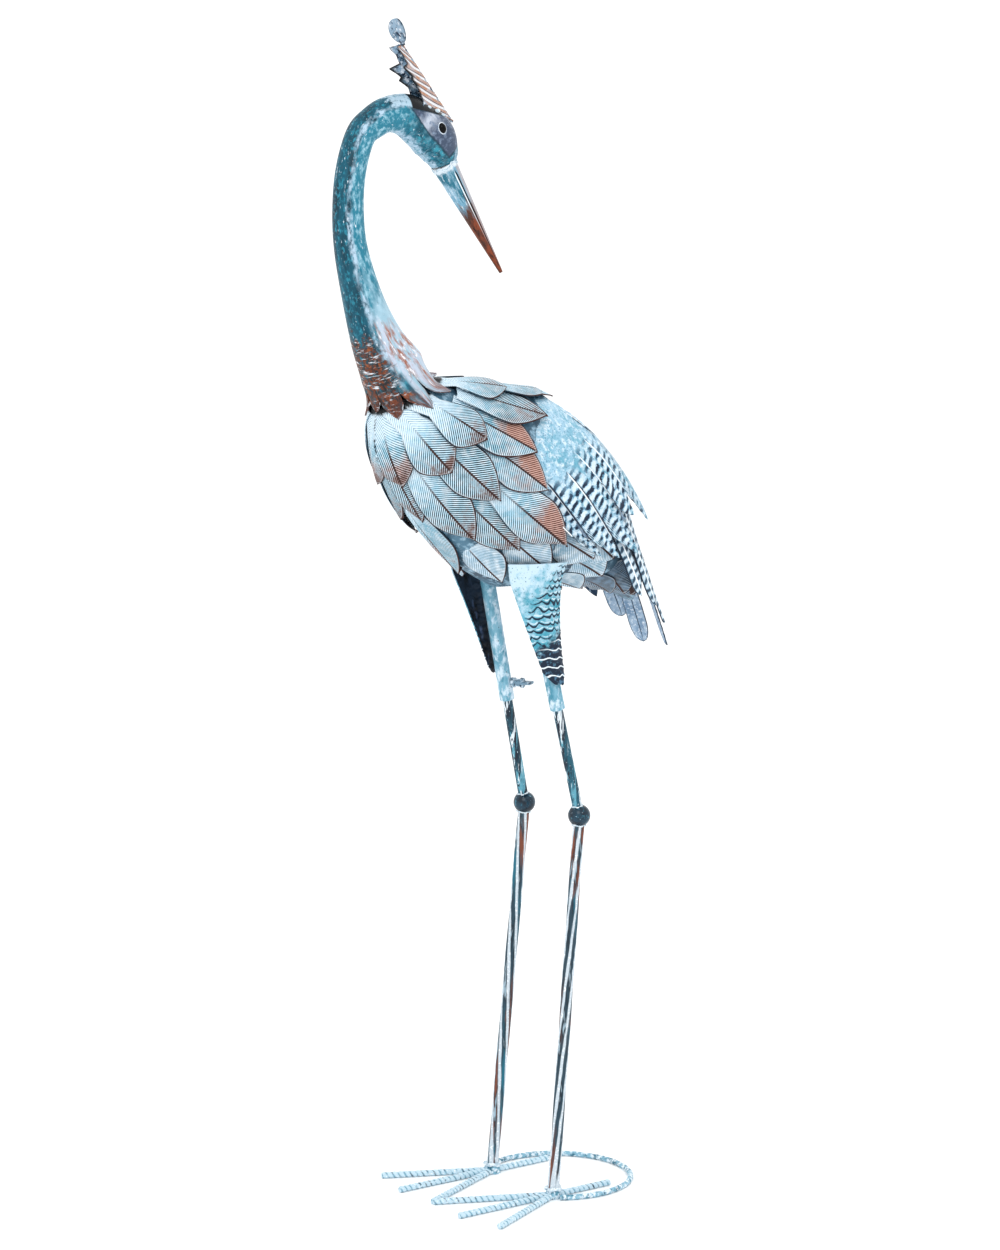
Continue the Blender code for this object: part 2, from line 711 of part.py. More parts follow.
def build_wings():
    """A wing: one sheet over the flank that ends in long pointed fingers."""
    tips = [(share, math.radians(degrees)) for share, degrees in WING_FINGERS]
    ends = []
    for place, tip in enumerate(tips):
        before = tips[max(place - 1, 0)]
        share = min(tip[0], before[0]) - (WING_NOTCH if place else 0.14)
        angle = (tip[1] + before[1]) / 2.0 if place else math.radians(WING_TOP_ANGLE)
        ends.append((share, angle))
        ends.append(tip)
    ends.append((tips[-1][0] - 0.13, math.radians(WING_LOW_ANGLE + 3)))
    columns = len(ends) - 1

    def surface(u, v):
        place = min(max((u + 1.0) * 0.5 * columns, 0.0), columns)
        low = min(int(place), columns - 1)
        part = place - low
        end_share = ends[low][0] * (1.0 - part) + ends[low + 1][0] * part
        end_angle = ends[low][1] * (1.0 - part) + ends[low + 1][1] * part
        start_angle = math.radians(WING_TOP_ANGLE
                                   + (WING_LOW_ANGLE - WING_TOP_ANGLE) * place / columns)
        share = WING_FRONT + (end_share - WING_FRONT) * v
        angle = start_angle + (end_angle - start_angle) * v
        point = ring_point(share, angle, wing_radius(share))
        flare = WING_FLARE * (angle / math.radians(WING_LOW_ANGLE)) ** 2 * v
        away = BODY_BACK * math.cos(angle) - Vector((0.0, math.sin(angle), 0.0))
        return point + away * flare

    for piece in plate("wing", surface, columns, 5, "powder_blue_paint"):
        lay_down(piece)


def build_tail():
    """Long tail feathers that hang from the rump in pairs, the inner ones lowest."""
    for pair, (share, out, up, degrees, facing) in enumerate(TAIL_FEATHERS):
        angle = math.radians(degrees)
        root = ring_point(TAIL_ROOT, angle, girth(TAIL_ROOT) + 0.05)
        tip = BREAST + BODY_AXIS * (share * BODY_LENGTH) + BODY_BACK * up - Vector((0.0, out, 0.0))
        run = (tip - root).normalized()
        outward = Vector((math.cos(math.radians(facing)), -math.sin(math.radians(facing)), 0.35))
        across = run.cross(outward).normalized()
        face = across.cross(run).normalized()

        def surface(u, v, root=root, tip=tip, across=across, face=face, pair=pair):
            along = 1.0 - (1.0 - v) ** 1.7
            end = min(max((along - TAIL_ROUND) / max(1.0 - TAIL_ROUND, 0.01), 0.0), 1.0)
            width = 0.5 * TAIL_WIDTH * math.sqrt(1.0 - 0.9 * end * end)
            width *= 0.72 + 0.28 * min(along / 0.8, 1.0)
            bow = TAIL_BOW * math.sin(math.pi * along) * (pair / len(TAIL_FEATHERS) - 0.45)
            return root.lerp(tip, along) + across * (u * width) + face * (bow + pair * TAIL_LAYER)

        for piece in plate("tail_feather_%d" % (pair + 1), surface, 2, 5, "pale_steel_paint"):
            lay_down(piece)


def leg_point(height, past_top=0.0):
    """Point of the left upper leg's centre line at a height, or at its top and a little beyond."""
    along = (LEG_TOP - KNEE).normalized()
    if height >= LEG_TOP.z:
        return LEG_TOP + along * past_top
    return KNEE + along * ((height - KNEE.z) / along.z)


def build_sockets():
    """Tubes that come down out of the body and take the upper legs."""
    bore = UPPER_LEG_RADIUS + SOCKET_FIT
    for side in ("left", "right"):
        low = other_side(leg_point(SOCKET_END), side)
        high = other_side(leg_point(1.0, SOCKET_IN_BODY), side)
        socket = rod("leg_socket_" + side, low, high, SOCKET_RADIUS, 16, "powder_blue_paint")
        along = (high - low).normalized()
        shape = bmesh.new()
        add_rod(shape, low - along * 0.005, low + along * (SOCKET_GRIP + SOCKET_FIT), bore, 16)
        cutter = add_cutter("socket_bore_" + side, mesh_from(shape, "socket_bore"))
        boolean(socket, cutter, "DIFFERENCE")


def knee_flat(radius):
    """Distance from the knee's centre to the flat where a rod of this radius is welded."""
    return math.sqrt(KNEE_RADIUS ** 2 - (radius + WELD_RIM) ** 2)


def ankle():
    return Vector((0.0, -0.5 * LEG_SPREAD, ANKLE_HEIGHT))


def build_legs():
    up_leg = (LEG_TOP - KNEE).normalized()
    down_leg = (ankle() - KNEE).normalized()
    for side in ("left", "right"):
        low = KNEE + up_leg * (knee_flat(UPPER_LEG_RADIUS) + GAP)
        high = leg_point(SOCKET_END) + up_leg * SOCKET_GRIP
        rod("upper_leg_" + side, other_side(low, side), other_side(high, side),
            UPPER_LEG_RADIUS, 12, "teal_paint")
        build_knee(side, up_leg, down_leg)
        build_lower_leg(side, down_leg)


def build_knee(side, up_leg, down_leg):
    """A ball between the two rods, with a small flat where each is welded."""
    shape = bmesh.new()
    bmesh.ops.create_uvsphere(shape, u_segments=12, v_segments=8, radius=KNEE_RADIUS)
    for direction, radius in ((up_leg, UPPER_LEG_RADIUS), (down_leg, LOWER_LEG_RADIUS)):
        aim = other_side(direction, side)
        faces = shape.faces[:] + shape.edges[:] + shape.verts[:]
        bmesh.ops.bisect_plane(shape, geom=faces, dist=0.000001, plane_co=aim * knee_flat(radius),
                               plane_no=aim, clear_outer=True)
        rim = [edge for edge in shape.edges if edge.is_boundary]
        bmesh.ops.holes_fill(shape, edges=rim)
    bmesh.ops.translate(shape, vec=other_side(KNEE, side), verts=shape.verts)
    bmesh.ops.recalc_face_normals(shape, faces=shape.faces)
    piece = add_object("knee_ball_" + side, mesh_from(shape, "knee_ball"), "dark_enamel")
    smooth(piece, 40)


def build_lower_leg(side, down_leg):
    """A ribbed rod twisted along its length, standing on the foot."""
    top = KNEE + down_leg * (knee_flat(LOWER_LEG_RADIUS) + GAP)
    foot = ankle() + Vector((0.0, 0.0, GAP))
    length = (top - foot).length
    rings = 12
    around = 2 * LOWER_LEG_RIBS
    shape = bmesh.new()
    bmesh.ops.create_grid(shape, x_segments=around, y_segments=rings, size=0.5)
    for vertex in shape.verts:
        place = round((vertex.co.x + 0.5) * around)
        height = vertex.co.y + 0.5
        radius = LOWER_LEG_RADIUS * (1.0 if place % 2 == 0 else 1.0 - LOWER_LEG_GROOVE)
        turn = 2.0 * math.pi * place / around + LOWER_LEG_TWIST * height
        vertex.co = (radius * math.cos(turn), radius * math.sin(turn), length * height)
    bmesh.ops.remove_doubles(shape, verts=shape.verts, dist=0.00002)
    bmesh.ops.holes_fill(shape, edges=[edge for edge in shape.edges if edge.is_boundary])
    bmesh.ops.recalc_face_normals(shape, faces=shape.faces)
    turn = (top - foot).to_track_quat("Z", "Y").to_matrix().to_4x4()
    bmesh.ops.transform(shape, matrix=Matrix.Translation(foot) @ turn, verts=shape.verts)
    for vertex in shape.verts:
        vertex.co.z = max(vertex.co.z, foot.z)
    if side == "right":
        for vertex in shape.verts:
            vertex.co.y = -vertex.co.y
        bmesh.ops.reverse_faces(shape, faces=shape.faces)
    piece = add_object("lower_leg_" + side, mesh_from(shape, "lower_leg"), "teal_paint")
    smooth(piece, 30)


def build_thighs():
    """Half-cone plates on the outer side of the upper legs, tucked under the belly feathers."""

    def surface(u, v):
        height = THIGH_LOW_Z + (THIGH_TOP_Z - THIGH_LOW_Z) * v
        centre = leg_point(min(height, LEG_TOP.z - 0.0001))
        reach = THIGH_LOW_BACK + (THIGH_TOP_BACK - THIGH_LOW_BACK) * v
        widest = THIGH_BACK_ANGLE
        if u < 0.0:
            reach = THIGH_LOW_FRONT + (THIGH_TOP_FRONT - THIGH_LOW_FRONT) * v
            widest = THIGH_LOW_ANGLE + (THIGH_TOP_ANGLE - THIGH_LOW_ANGLE) * v
        bulge = THIGH_LOW_BACK + (THIGH_TOP_BULGE - THIGH_LOW_BACK) * v
        point_end = 0.25 + 0.75 * min(v / 0.10, 1.0) ** 0.6
        angle = math.radians(widest * point_end * u)
        x = centre.x + reach * math.sin(angle)
        out = -centre.y + bulge * math.cos(angle)
        shell = shell_half_width(x, height)
        if shell > 0.0:
            out = max(out, shell + THIGH_STAND_OFF)
        return Vector((x, -out, height))

    plate("thigh_plate", surface, 6, 5, "powder_blue_paint", outward=Vector((0.0, -1.0, 0.0)))


def build_screws():
    """Wing screws that clamp the upper legs in the sockets, on the inner side and towards the tail."""
    for side in ("left", "right"):
        centre = leg_point(SCREW_Z)
        aim = Vector((math.cos(SCREW_ANGLE), math.sin(SCREW_ANGLE), 0.0))
        start = centre + aim * (SOCKET_RADIUS + SCREW_GAP)
        shape = bmesh.new()
        add_rod(shape, start, start + aim * SCREW_BODY, SCREW_RADIUS, 12)
        piece = add_object("clamp_screw_" + side, mesh_from(shape, "clamp_screw"), "pale_steel_paint")
        blade = bmesh.new()
        bmesh.ops.create_cube(blade, size=1.0)
        middle = start + aim * (SCREW_BODY + 0.5 * (SCREW_WING - SCREW_WING_ROOT))
        length = SCREW_WING + SCREW_WING_ROOT
        scale = Matrix.Diagonal((SCREW_WING_THICKNESS, SCREW_WING_WIDTH, length, 1.0))
        turn = Matrix((Vector((0.0, 0.0, 1.0)), aim.cross(Vector((0.0, 0.0, 1.0))), aim)).transposed()
        bmesh.ops.transform(blade, matrix=Matrix.Translation(middle) @ turn.to_4x4() @ scale,
                            verts=blade.verts)
        bmesh.ops.recalc_face_normals(blade, faces=blade.faces)
        cutter = add_cutter("screw_wing_" + side, mesh_from(blade, "screw_wing"))
        boolean(piece, cutter, "UNION")
        if side == "right":
            mirror_mesh(piece.data)
            mirror_mesh(cutter.data)


def mirror_mesh(mesh_data):
    """Turns a left mesh into a right one."""
    shape = bmesh.new()
    shape.from_mesh(mesh_data)
    for vertex in shape.verts:
        vertex.co.y = -vertex.co.y
    bmesh.ops.reverse_faces(shape, faces=shape.faces)
    shape.to_mesh(mesh_data)
    shape.free()


def build_feet():
    """Each foot: three toes forward, one back and a low boss under the leg, all on the ground."""
    level = TOE_RADIUS * math.cos(math.pi / ROD_SIDES)
    middle = Vector((0.0, -0.5 * LEG_SPREAD, level))
    for side in ("left", "right"):
        shape = bmesh.new()
        add_rod(shape, Vector((0.0, middle.y, 0.0)), Vector((0.0, middle.y, ANKLE_HEIGHT)),
                ANKLE_RADIUS, 16, end_radius=ANKLE_RADIUS * 0.9)
        foot = add_object("foot_" + side, mesh_from(shape, "foot"), "pale_steel_paint")
        ends = [(length, math.radians(180.0 + degrees)) for length, degrees in TOES]
        inner = 0.5 * LEG_SPREAD / math.sin(math.radians(INNER_TOE_ANGLE)) + TOE_RADIUS
        ends.append((inner, math.radians(180.0 - INNER_TOE_ANGLE)))
        ends.append((BACK_TOE, 0.0))
        for count, (length, angle) in enumerate(ends):
            toe = bmesh.new()
            tip = middle + Vector((math.cos(angle), math.sin(angle), 0.0)) * length
            add_rod(toe, middle, tip, TOE_RADIUS, ROD_SIDES)
            bmesh.ops.bisect_plane(toe, geom=toe.faces[:] + toe.edges[:] + toe.verts[:],
                                   plane_co=(0.0, -0.5 * GAP, 0.0), plane_no=(0.0, 1.0, 0.0),
                                   clear_outer=True)
            rim = [edge for edge in toe.edges if edge.is_boundary]
            if rim:
                bmesh.ops.holes_fill(toe, edges=rim)
            bmesh.ops.recalc_face_normals(toe, faces=toe.faces)
            cutter = add_cutter("toe_%d_%s" % (count + 1, side), mesh_from(toe, "toe"))
            boolean(foot, cutter, "UNION")
            if side == "right":
                mirror_mesh(cutter.data)
        if side == "right":
            mirror_mesh(foot.data)
        smooth(foot, 30)


def build_hoop():
    """Ring of rod behind the feet that keeps the statue from tipping back; its ends meet the ankles."""
    end_y = 0.5 * LEG_SPREAD + ANKLE_RADIUS + GAP + HOOP_ROD_RADIUS
    radius = math.hypot(HOOP_CENTRE_X, end_y)
    start = math.atan2(end_y, -HOOP_CENTRE_X)
    points = []
    for step in range(HOOP_STEPS + 1):
        angle = start - 2.0 * start * step / HOOP_STEPS
        points.append((HOOP_CENTRE_X + radius * math.cos(angle), radius * math.sin(angle),
                       HOOP_ROD_RADIUS))
    mesh_data = tube_mesh("hoop", points, [HOOP_ROD_RADIUS] * len(points), 2)
    piece = add_object("hoop", mesh_data, "pale_steel_paint")
    smooth(piece, 40)


def centre_on_origin():
    """Moves the stand so that the statue's box is centred over the origin."""
    bpy.context.view_layer.update()
    scene = bpy.context.evaluated_depsgraph_get()
    lows = []
    highs = []
    for piece in STATUE.objects:
        if piece.type != "MESH":
            continue
        corners = [piece.matrix_world @ Vector(corner) for corner in piece.evaluated_get(scene).bound_box]
        lows.append(min(corner.x for corner in corners))
        highs.append(max(corner.x for corner in corners))
    STAND.location.x = -0.5 * (min(lows) + max(highs))


clear_scene()
LAID = []
STATUE = make_collection("crane_garden_statue")
CUTTERS = make_collection("cutters")
STAND = bpy.data.objects.new("stand", None)
STATUE.objects.link(STAND)
build_body()
build_tail()
build_wings()
build_feathers()
build_neck()
build_eyes()
build_bill()
build_crest()
build_sockets()
build_legs()
build_thighs()
build_screws()
build_feet()
build_hoop()
centre_on_origin()
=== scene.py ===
"""Looks of the crane garden statue: a bird of painted sheet steel on legs of steel rod."""
import json
import math

import bmesh
import bpy
import numpy as np
from mathutils import Matrix, Vector, noise
from mathutils.bvhtree import BVHTree


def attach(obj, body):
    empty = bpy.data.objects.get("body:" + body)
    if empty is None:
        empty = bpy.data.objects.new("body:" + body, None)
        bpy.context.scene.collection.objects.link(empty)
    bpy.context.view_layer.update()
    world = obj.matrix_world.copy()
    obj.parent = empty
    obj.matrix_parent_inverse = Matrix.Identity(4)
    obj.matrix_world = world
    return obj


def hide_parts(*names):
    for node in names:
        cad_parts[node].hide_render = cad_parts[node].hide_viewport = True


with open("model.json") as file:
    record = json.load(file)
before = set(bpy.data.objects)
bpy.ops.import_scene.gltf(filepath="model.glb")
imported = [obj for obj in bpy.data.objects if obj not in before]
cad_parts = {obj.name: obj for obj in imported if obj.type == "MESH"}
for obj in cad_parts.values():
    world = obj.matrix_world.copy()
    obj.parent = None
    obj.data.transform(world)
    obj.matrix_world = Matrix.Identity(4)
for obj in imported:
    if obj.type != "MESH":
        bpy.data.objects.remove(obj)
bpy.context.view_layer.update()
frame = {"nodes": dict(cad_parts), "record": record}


# Body shell
# The body is an egg of sheet steel welded from pressed halves, in dark slate paint with a little
# powder blue brushed over. Feathers hide nearly all of it; it shows as dark gaps between them, so
# the dark slate is painted shade for those gaps.
STAND_SHIFT = frame["record"]["mounts"][0]["pos_m"][0]
BREAST = Vector((STAND_SHIFT - 0.1466, 0.0, 0.7452))
BODY_TILT = math.radians(37.5)
BODY_AXIS = Vector((math.cos(BODY_TILT), 0.0, -math.sin(BODY_TILT)))
BODY_BACK = Vector((math.sin(BODY_TILT), 0.0, math.cos(BODY_TILT)))
BODY_LENGTH = 0.340
BODY_DEPTH = 0.174
BODY_WIDTH = 0.136
MIDDLE_GAP = 0.0004
TAPER_START = 0.40
BELLY_SLOPE = 0.15
BELLY_SLOPE_START = 0.15
BELLY_RISE = 2.3
BELLY_RISE_START = 0.60
BELLY_RISE_MOST = 0.34
BACK_DROP = 1.45
BACK_DROP_END = 0.36
BACK_DROP_MOST = 0.42


def linear(hex_code):
    """Turns an sRGB hex colour into the linear values that Blender's shaders take."""
    parts = [int(hex_code[place:place + 2], 16) / 255.0 for place in (1, 3, 5)]
    return tuple(part / 12.92 if part <= 0.04045 else ((part + 0.055) / 1.055) ** 2.4
                 for part in parts) + (1.0,)


def add_node(tree, kind, inputs, **settings):
    """Adds a node with its settings; inputs gives each socket a value or another node's output."""
    node = tree.nodes.new(kind)
    for name, value in settings.items():
        setattr(node, name, value)
    for name, value in inputs.items():
        if isinstance(value, bpy.types.NodeSocket):
            tree.links.new(value, node.inputs[name])
        else:
            node.inputs[name].default_value = value
    return node


class Mask:
    """A value that a paint works out at each point. Masks add, multiply and subtract as numbers do."""

    def __init__(self, tree, socket):
        self.tree = tree
        self.socket = socket

    def step(self, operation, first, second=0.0):
        """One step of arithmetic on masks and numbers."""
        first, second = (value.socket if isinstance(value, Mask) else value for value in (first, second))
        node = add_node(self.tree, "ShaderNodeMath", {0: first, 1: second}, operation=operation)
        return Mask(self.tree, node.outputs[0])

    def __mul__(self, other):
        return self.step("MULTIPLY", self, other)

    def __add__(self, other):
        return self.step("ADD", self, other)

    def __sub__(self, other):
        return self.step("SUBTRACT", self, other)

    def __rsub__(self, other):
        return self.step("SUBTRACT", other, self)

    def __abs__(self):
        return self.step("ABSOLUTE", self)

    def rise(self, start, stop):
        """A mask that goes from 0 where this one is start to 1 where it is stop."""
        node = add_node(self.tree, "ShaderNodeMapRange",
                        {"Value": self.socket, "From Min": start, "From Max": stop})
        return Mask(self.tree, node.outputs[0])


class Paint:
    """A finish of coats of paint laid one over another, each where its mask is bright."""

    def __init__(self, name, ground, roughness=0.5, specular=0.35):
        self.material = bpy.data.materials.new(name)
        self.material.use_nodes = True
        self.tree = self.material.node_tree
        self.shader = self.tree.nodes["Principled BSDF"]
        self.shader.inputs["Roughness"].default_value = roughness
        self.shader.inputs["Specular IOR Level"].default_value = specular
        self.shader.inputs["Base Color"].default_value = linear(ground)
        self.colour = linear(ground)
        self.follow()

    def follow(self, name=None):
        """Lays the patches from here on along a place that the mesh carries, or by the object's own."""
        if name:
            self.place = add_node(self.tree, "ShaderNodeAttribute", {}, attribute_name=name).outputs["Vector"]
        else:
            self.place = add_node(self.tree, "ShaderNodeTexCoord", {}).outputs["Object"]

    def carried(self, name):
        """Reads a number that the mesh carries at its vertices."""
        node = add_node(self.tree, "ShaderNodeAttribute", {}, attribute_name=name)
        return Mask(self.tree, node.outputs["Fac"])

    def patches(self, size_mm, start, stop, along=1.0):
        """Patches of size_mm, as a dry brush or a sponge leaves them, which fade in from start to stop;
        along below 1 draws them out along Z."""
        place = add_node(self.tree, "ShaderNodeMapping",
                         {"Vector": self.place, "Scale": (1.0, 1.0, along)}).outputs[0]
        noise_node = add_node(self.tree, "ShaderNodeTexNoise", {
            "Vector": place, "Scale": 1000.0 / size_mm, "Detail": 5.0, "Roughness": 0.6})
        return Mask(self.tree, noise_node.outputs[0]).rise(start, stop)

    def ragged(self, mask, size_mm, amount, along=1.0):
        """The mask with patches added, so that it rises at a rough edge."""
        return mask + (self.patches(size_mm, 0.30, 0.70, along) - 0.5) * amount

    def mixed(self, under, over, mask):
        """A colour laid over another where the mask is bright; each is a hex code or an output."""
        under, over = (linear(colour) if isinstance(colour, str) else colour for colour in (under, over))
        return add_node(self.tree, "ShaderNodeMix", {0: mask.socket, 6: under, 7: over},
                        data_type="RGBA").outputs[2]

    def coat(self, colour, mask):
        """Lays a coat over what is there."""
        self.colour = self.mixed(self.colour, colour, mask)

    def brush(self, coats, along=1.0):
        """Lays patchy coats; each is (colour, patch size in mm, start, stop) and may have its own along."""
        for colour, size_mm, start, stop, *own in coats:
            self.coat(colour, self.patches(size_mm, start, stop, *own or (along,)))

    def dried(self, grain_mm=1.6, depth_mm=0.25):
        """The finished material, with the fine unevenness of brushed paint as bump."""
        self.follow()
        grain = add_node(self.tree, "ShaderNodeTexNoise", {
            "Vector": self.place, "Scale": 1000.0 / grain_mm, "Detail": 4.0})
        bump = add_node(self.tree, "ShaderNodeBump", {
            "Strength": 1.0, "Distance": depth_mm / 1000.0, "Height": grain.outputs[0]})
        self.tree.links.new(bump.outputs[0], self.shader.inputs["Normal"])
        self.tree.links.new(self.colour, self.shader.inputs["Base Color"])
        return self.material


def brushed_paint(name, ground, coats, along=1.0, roughness=0.5, depth_mm=0.25):
    """Old paint in patchy brushed coats and nothing else."""
    paint = Paint(name, ground, roughness, 0.5)
    paint.brush(coats, along)
    return paint.dried(2.0, depth_mm)


def rise(value, start, stop):
    """0 before start, 1 after stop and in between in proportion."""
    return min(max((value - start) / (stop - start), 0.0), 1.0)


def girth(share):
    """Radius of the body, as a share of its largest, at a share of its length."""
    rear = max(share - TAPER_START, 0.0)
    return 2.0 * math.sqrt(max(share * (1.0 - share), 0.0)) * (1.0 - rear * rear)


def ring_point(share, angle, radius):
    """A point round the body axis; the angle runs from the back down the left side to the belly."""
    up = 0.5 * BODY_DEPTH * radius * math.cos(angle)
    if up < 0.0:
        belly_rise = min(max(share - BELLY_RISE_START, 0.0), BELLY_RISE_MOST)
        up *= 1.0 - BELLY_SLOPE * max(share - BELLY_SLOPE_START, 0.0) - BELLY_RISE * belly_rise
    else:
        up *= 1.0 - min(BACK_DROP * max(BACK_DROP_END - share, 0.0), BACK_DROP_MOST)
    out = 0.5 * BODY_WIDTH * radius * math.sin(angle)
    return BREAST + BODY_AXIS * (share * BODY_LENGTH) + BODY_BACK * up - Vector((0.0, out, 0.0))


def shell_frame(share, angle):
    """A point on the body shell and the direction straight out of it."""
    here = min(max(share, 0.004), 0.996)
    step = 0.002
    point = ring_point(here, angle, girth(here))
    along = ring_point(here + step, angle, girth(here + step)) - point
    around = ring_point(here, angle + step, girth(here)) - point
    return point, around.cross(along).normalized()


def finish_piece(name, shape, paint, nodes=(), sheet=0.0, back=None):
    """Makes a shape a smooth painted piece on the statue; sheet thickens an open one inwards, and
    back is the paint on its inner side."""
    mesh = bpy.data.meshes.new(name)
    shape.to_mesh(mesh)
    shape.free()
    mesh.shade_smooth()
    mesh.materials.append(paint)
    piece = bpy.data.objects.new(name, mesh)
    bpy.context.scene.collection.objects.link(piece)
    if sheet:
        wall = piece.modifiers.new("sheet", "SOLIDIFY")
        wall.thickness = sheet
        wall.offset = -1.0
        if back:
            mesh.materials.append(back)
            wall.material_offset = 1
    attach(piece, "root")
    if nodes:
        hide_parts(*nodes)
    return piece


def both_sides(name, shape, paint, node=None, sheet=0.0, back=None):
    """Finishes a left shape and its mirrored right twin, each standing for the CAD node of its side."""
    twin = shape.copy()
    bmesh.ops.scale(twin, vec=(1.0, -1.0, 1.0), verts=twin.verts)
    bmesh.ops.reverse_faces(twin, faces=twin.faces)
    finish_piece(name + "_left", shape, paint, [node + "_left"] if node else (), sheet, back)
    finish_piece(name + "_right", twin, paint, [node + "_right"] if node else (), sheet, back)


# Slate enamel, dry-brushed with powder blue, made dark as painted shade so that gaps between leaves read deep
GAP_SHADE_PAINT = brushed_paint("slate_enamel_painted_gap_shade", "#2C4558", [
    ("#51798F", 26.0, 0.42, 0.62), ("#8FB0C4", 6.0, 0.50, 0.64)])

shape = bmesh.new()
bmesh.ops.create_uvsphere(shape, u_segments=72, v_segments=48, radius=1.0)
for vertex in shape.verts:
    share = (1.0 - vertex.co.z) / 2.0
    if share < 0.0005:
        vertex.co = BREAST
    elif share > 0.9995:
        vertex.co = BREAST + BODY_AXIS * BODY_LENGTH
    else:
        vertex.co = ring_point(share, math.atan2(vertex.co.y, vertex.co.x), girth(share))
bmesh.ops.reverse_faces(shape, faces=shape.faces)
finish_piece("body_egg", shape, GAP_SHADE_PAINT, ["body_shell"])


# Leaf feathers
# Each is a stamped steel leaf with a midrib and herringbone veins, welded by its root. Dark paint
# stays in the veins under a brushed powder blue, and the tips are touched with brown and copper.
LEAF_WIDTH = 0.042
LEAF_LENGTH = 0.088
LEAF_SHEET = 0.0009
VEIN_STEP = 0.0024
VEIN_DEPTH = 0.00040
VEIN_SLOPE = 1.0
LEAF_COLUMNS = 16
LEAF_ROOT_WIDTH = 0.52
LEAF_WIDEST = 0.6
LEAF_BLUNTNESS = 1.7
NECK_FOOT = BREAST + Vector((0.0116, 0.0, 0.0031))
NECK_CLEARANCE = 0.042
ROOT_UNDER_NECK = -0.45

# Name: share of the body's length at the tip, angle from the back, then how strong the copper on
# the upper half, the copper on the lower half, the brown tip and the black in the veins are
LEAVES = (
    ("a1", 0.253, 33, 0.35, 0.10, 0.35, 0.75),
    ("a2", 0.228, 90, 0.00, 0.10, 0.85, 0.90),
    ("a3", 0.210, 122, 0.05, 0.05, 0.85, 0.90),
    ("a4", 0.172, 161, 0.65, 0.55, 0.90, 0.85),
    ("b1", 0.405, 17, 0.25, 0.25, 0.30, 0.80),
    ("b2", 0.362, 50, 0.20, 0.35, 0.60, 0.95),
    ("b3", 0.365, 77, 0.95, 0.25, 0.25, 0.60),
    ("b4", 0.349, 114, 0.10, 0.05, 0.70, 1.00),
    ("b5", 0.388, 143, 0.20, 0.00, 0.70, 1.00),
    ("b6", 0.278, 166, 0.05, 0.05, 0.70, 1.00),
    ("c1", 0.441, 91, 0.95, 0.35, 0.35, 0.65),
    ("c2", 0.570, 109, 1.00, 0.35, 0.55, 0.80),
    ("c3", 0.495, 129, 0.35, 0.00, 0.70, 1.00),
    ("c4_middle", 0.480, 180, 0.10, 0.60, 0.40, 0.65),
)
# Share at the tip, angle and length of the plain leaves on the belly; the last three, under the
# rump, are the dark ones
BELLY_LEAVES = (
    (0.610, 128, 0.070),
    (0.550, 156, 0.062),
    (0.697, 106, 0.056),
    (0.760, 92, 0.056),
    (0.770, 117, 0.046),
    (0.770, 150, 0.046),
    (0.770, 180, 0.046),
    (0.930, 96, 0.050),
    (0.905, 118, 0.050),
    (0.880, 145, 0.050),
)


def leaf_width(v):
    """Half the width of a leaf at a share of its length."""
    if v < LEAF_WIDEST:
        swell = math.sin(0.5 * math.pi * max(v, -0.35 * v) / LEAF_WIDEST)
        return 0.5 * LEAF_WIDTH * (LEAF_ROOT_WIDTH + (1.0 - LEAF_ROOT_WIDTH) * swell)
    beyond = (v - LEAF_WIDEST) / (1.0 - LEAF_WIDEST)
    return 0.5 * LEAF_WIDTH * max(1.0 - beyond ** LEAF_BLUNTNESS, 0.0)


def leaf_bed(tip_share, angle, length, clear_neck=False):
    """Where a leaf lies on the body: returns a function that gives its foot point and outward
    direction for u across (-1 to 1) and v along (0 to 1), and the leaf's real length."""
    shares = np.linspace(0.004, 0.996, 200)
    points = [shell_frame(share, angle)[0] for share in shares]
    lengths = np.concatenate([[0.0], np.cumsum([(b - a).length for a, b in zip(points, points[1:])])])
    tip = float(np.interp(tip_share, shares, lengths))
    root = max(tip - length, 0.0)
    if clear_neck:
        for turn in (-0.35, 0.0, 0.35):
            clear = [place for place, share in zip(lengths, shares)
                     if (shell_frame(share, angle + turn)[0] - NECK_FOOT).length > NECK_CLEARANCE]
            root = max(root, clear[0])

    def bed(u, v):
        share = float(np.interp(root + (tip - root) * v, lengths, shares))
        around = (ring_point(share, angle + 0.01, girth(share))
                  - ring_point(share, angle, girth(share))).length / 0.01
        return shell_frame(share, angle + u * leaf_width(v) / around)

    return bed, tip - root


def solid_height(node, bed):
    """Fits a smooth sheet to the top of a CAD leaf: returns its height above the bed at (u, v)."""
    tree = BVHTree.FromObject(frame["nodes"][node], bpy.context.evaluated_depsgraph_get())
    reach = 0.030
    rows = []
    heights = []
    for v in np.linspace(0.02, 0.96, 20):
        for u in np.linspace(-0.94, 0.94, 9):
            point, outward = bed(u, v)
            hit, _, _, distance = tree.ray_cast(point + outward * reach, -outward, 2.0 * reach)
            if hit:
                rows.append((1.0, v, v * v, v ** 3, u, u * v, u * v * v, u * u, u * u * v))
                heights.append(reach - distance)
    fit = np.linalg.lstsq(np.array(rows), np.array(heights), rcond=None)[0]

    def height(u, v):
        return float(np.dot(fit, (1.0, v, v * v, v ** 3, u, u * v, u * v * v, u * u, u * u * v)))

    return height


def carried_values(shape, *names):
    """Makes room at a shape's vertices for the numbers that its paint reads."""
    return {name: shape.verts.layers.float.new(name) for name in names}


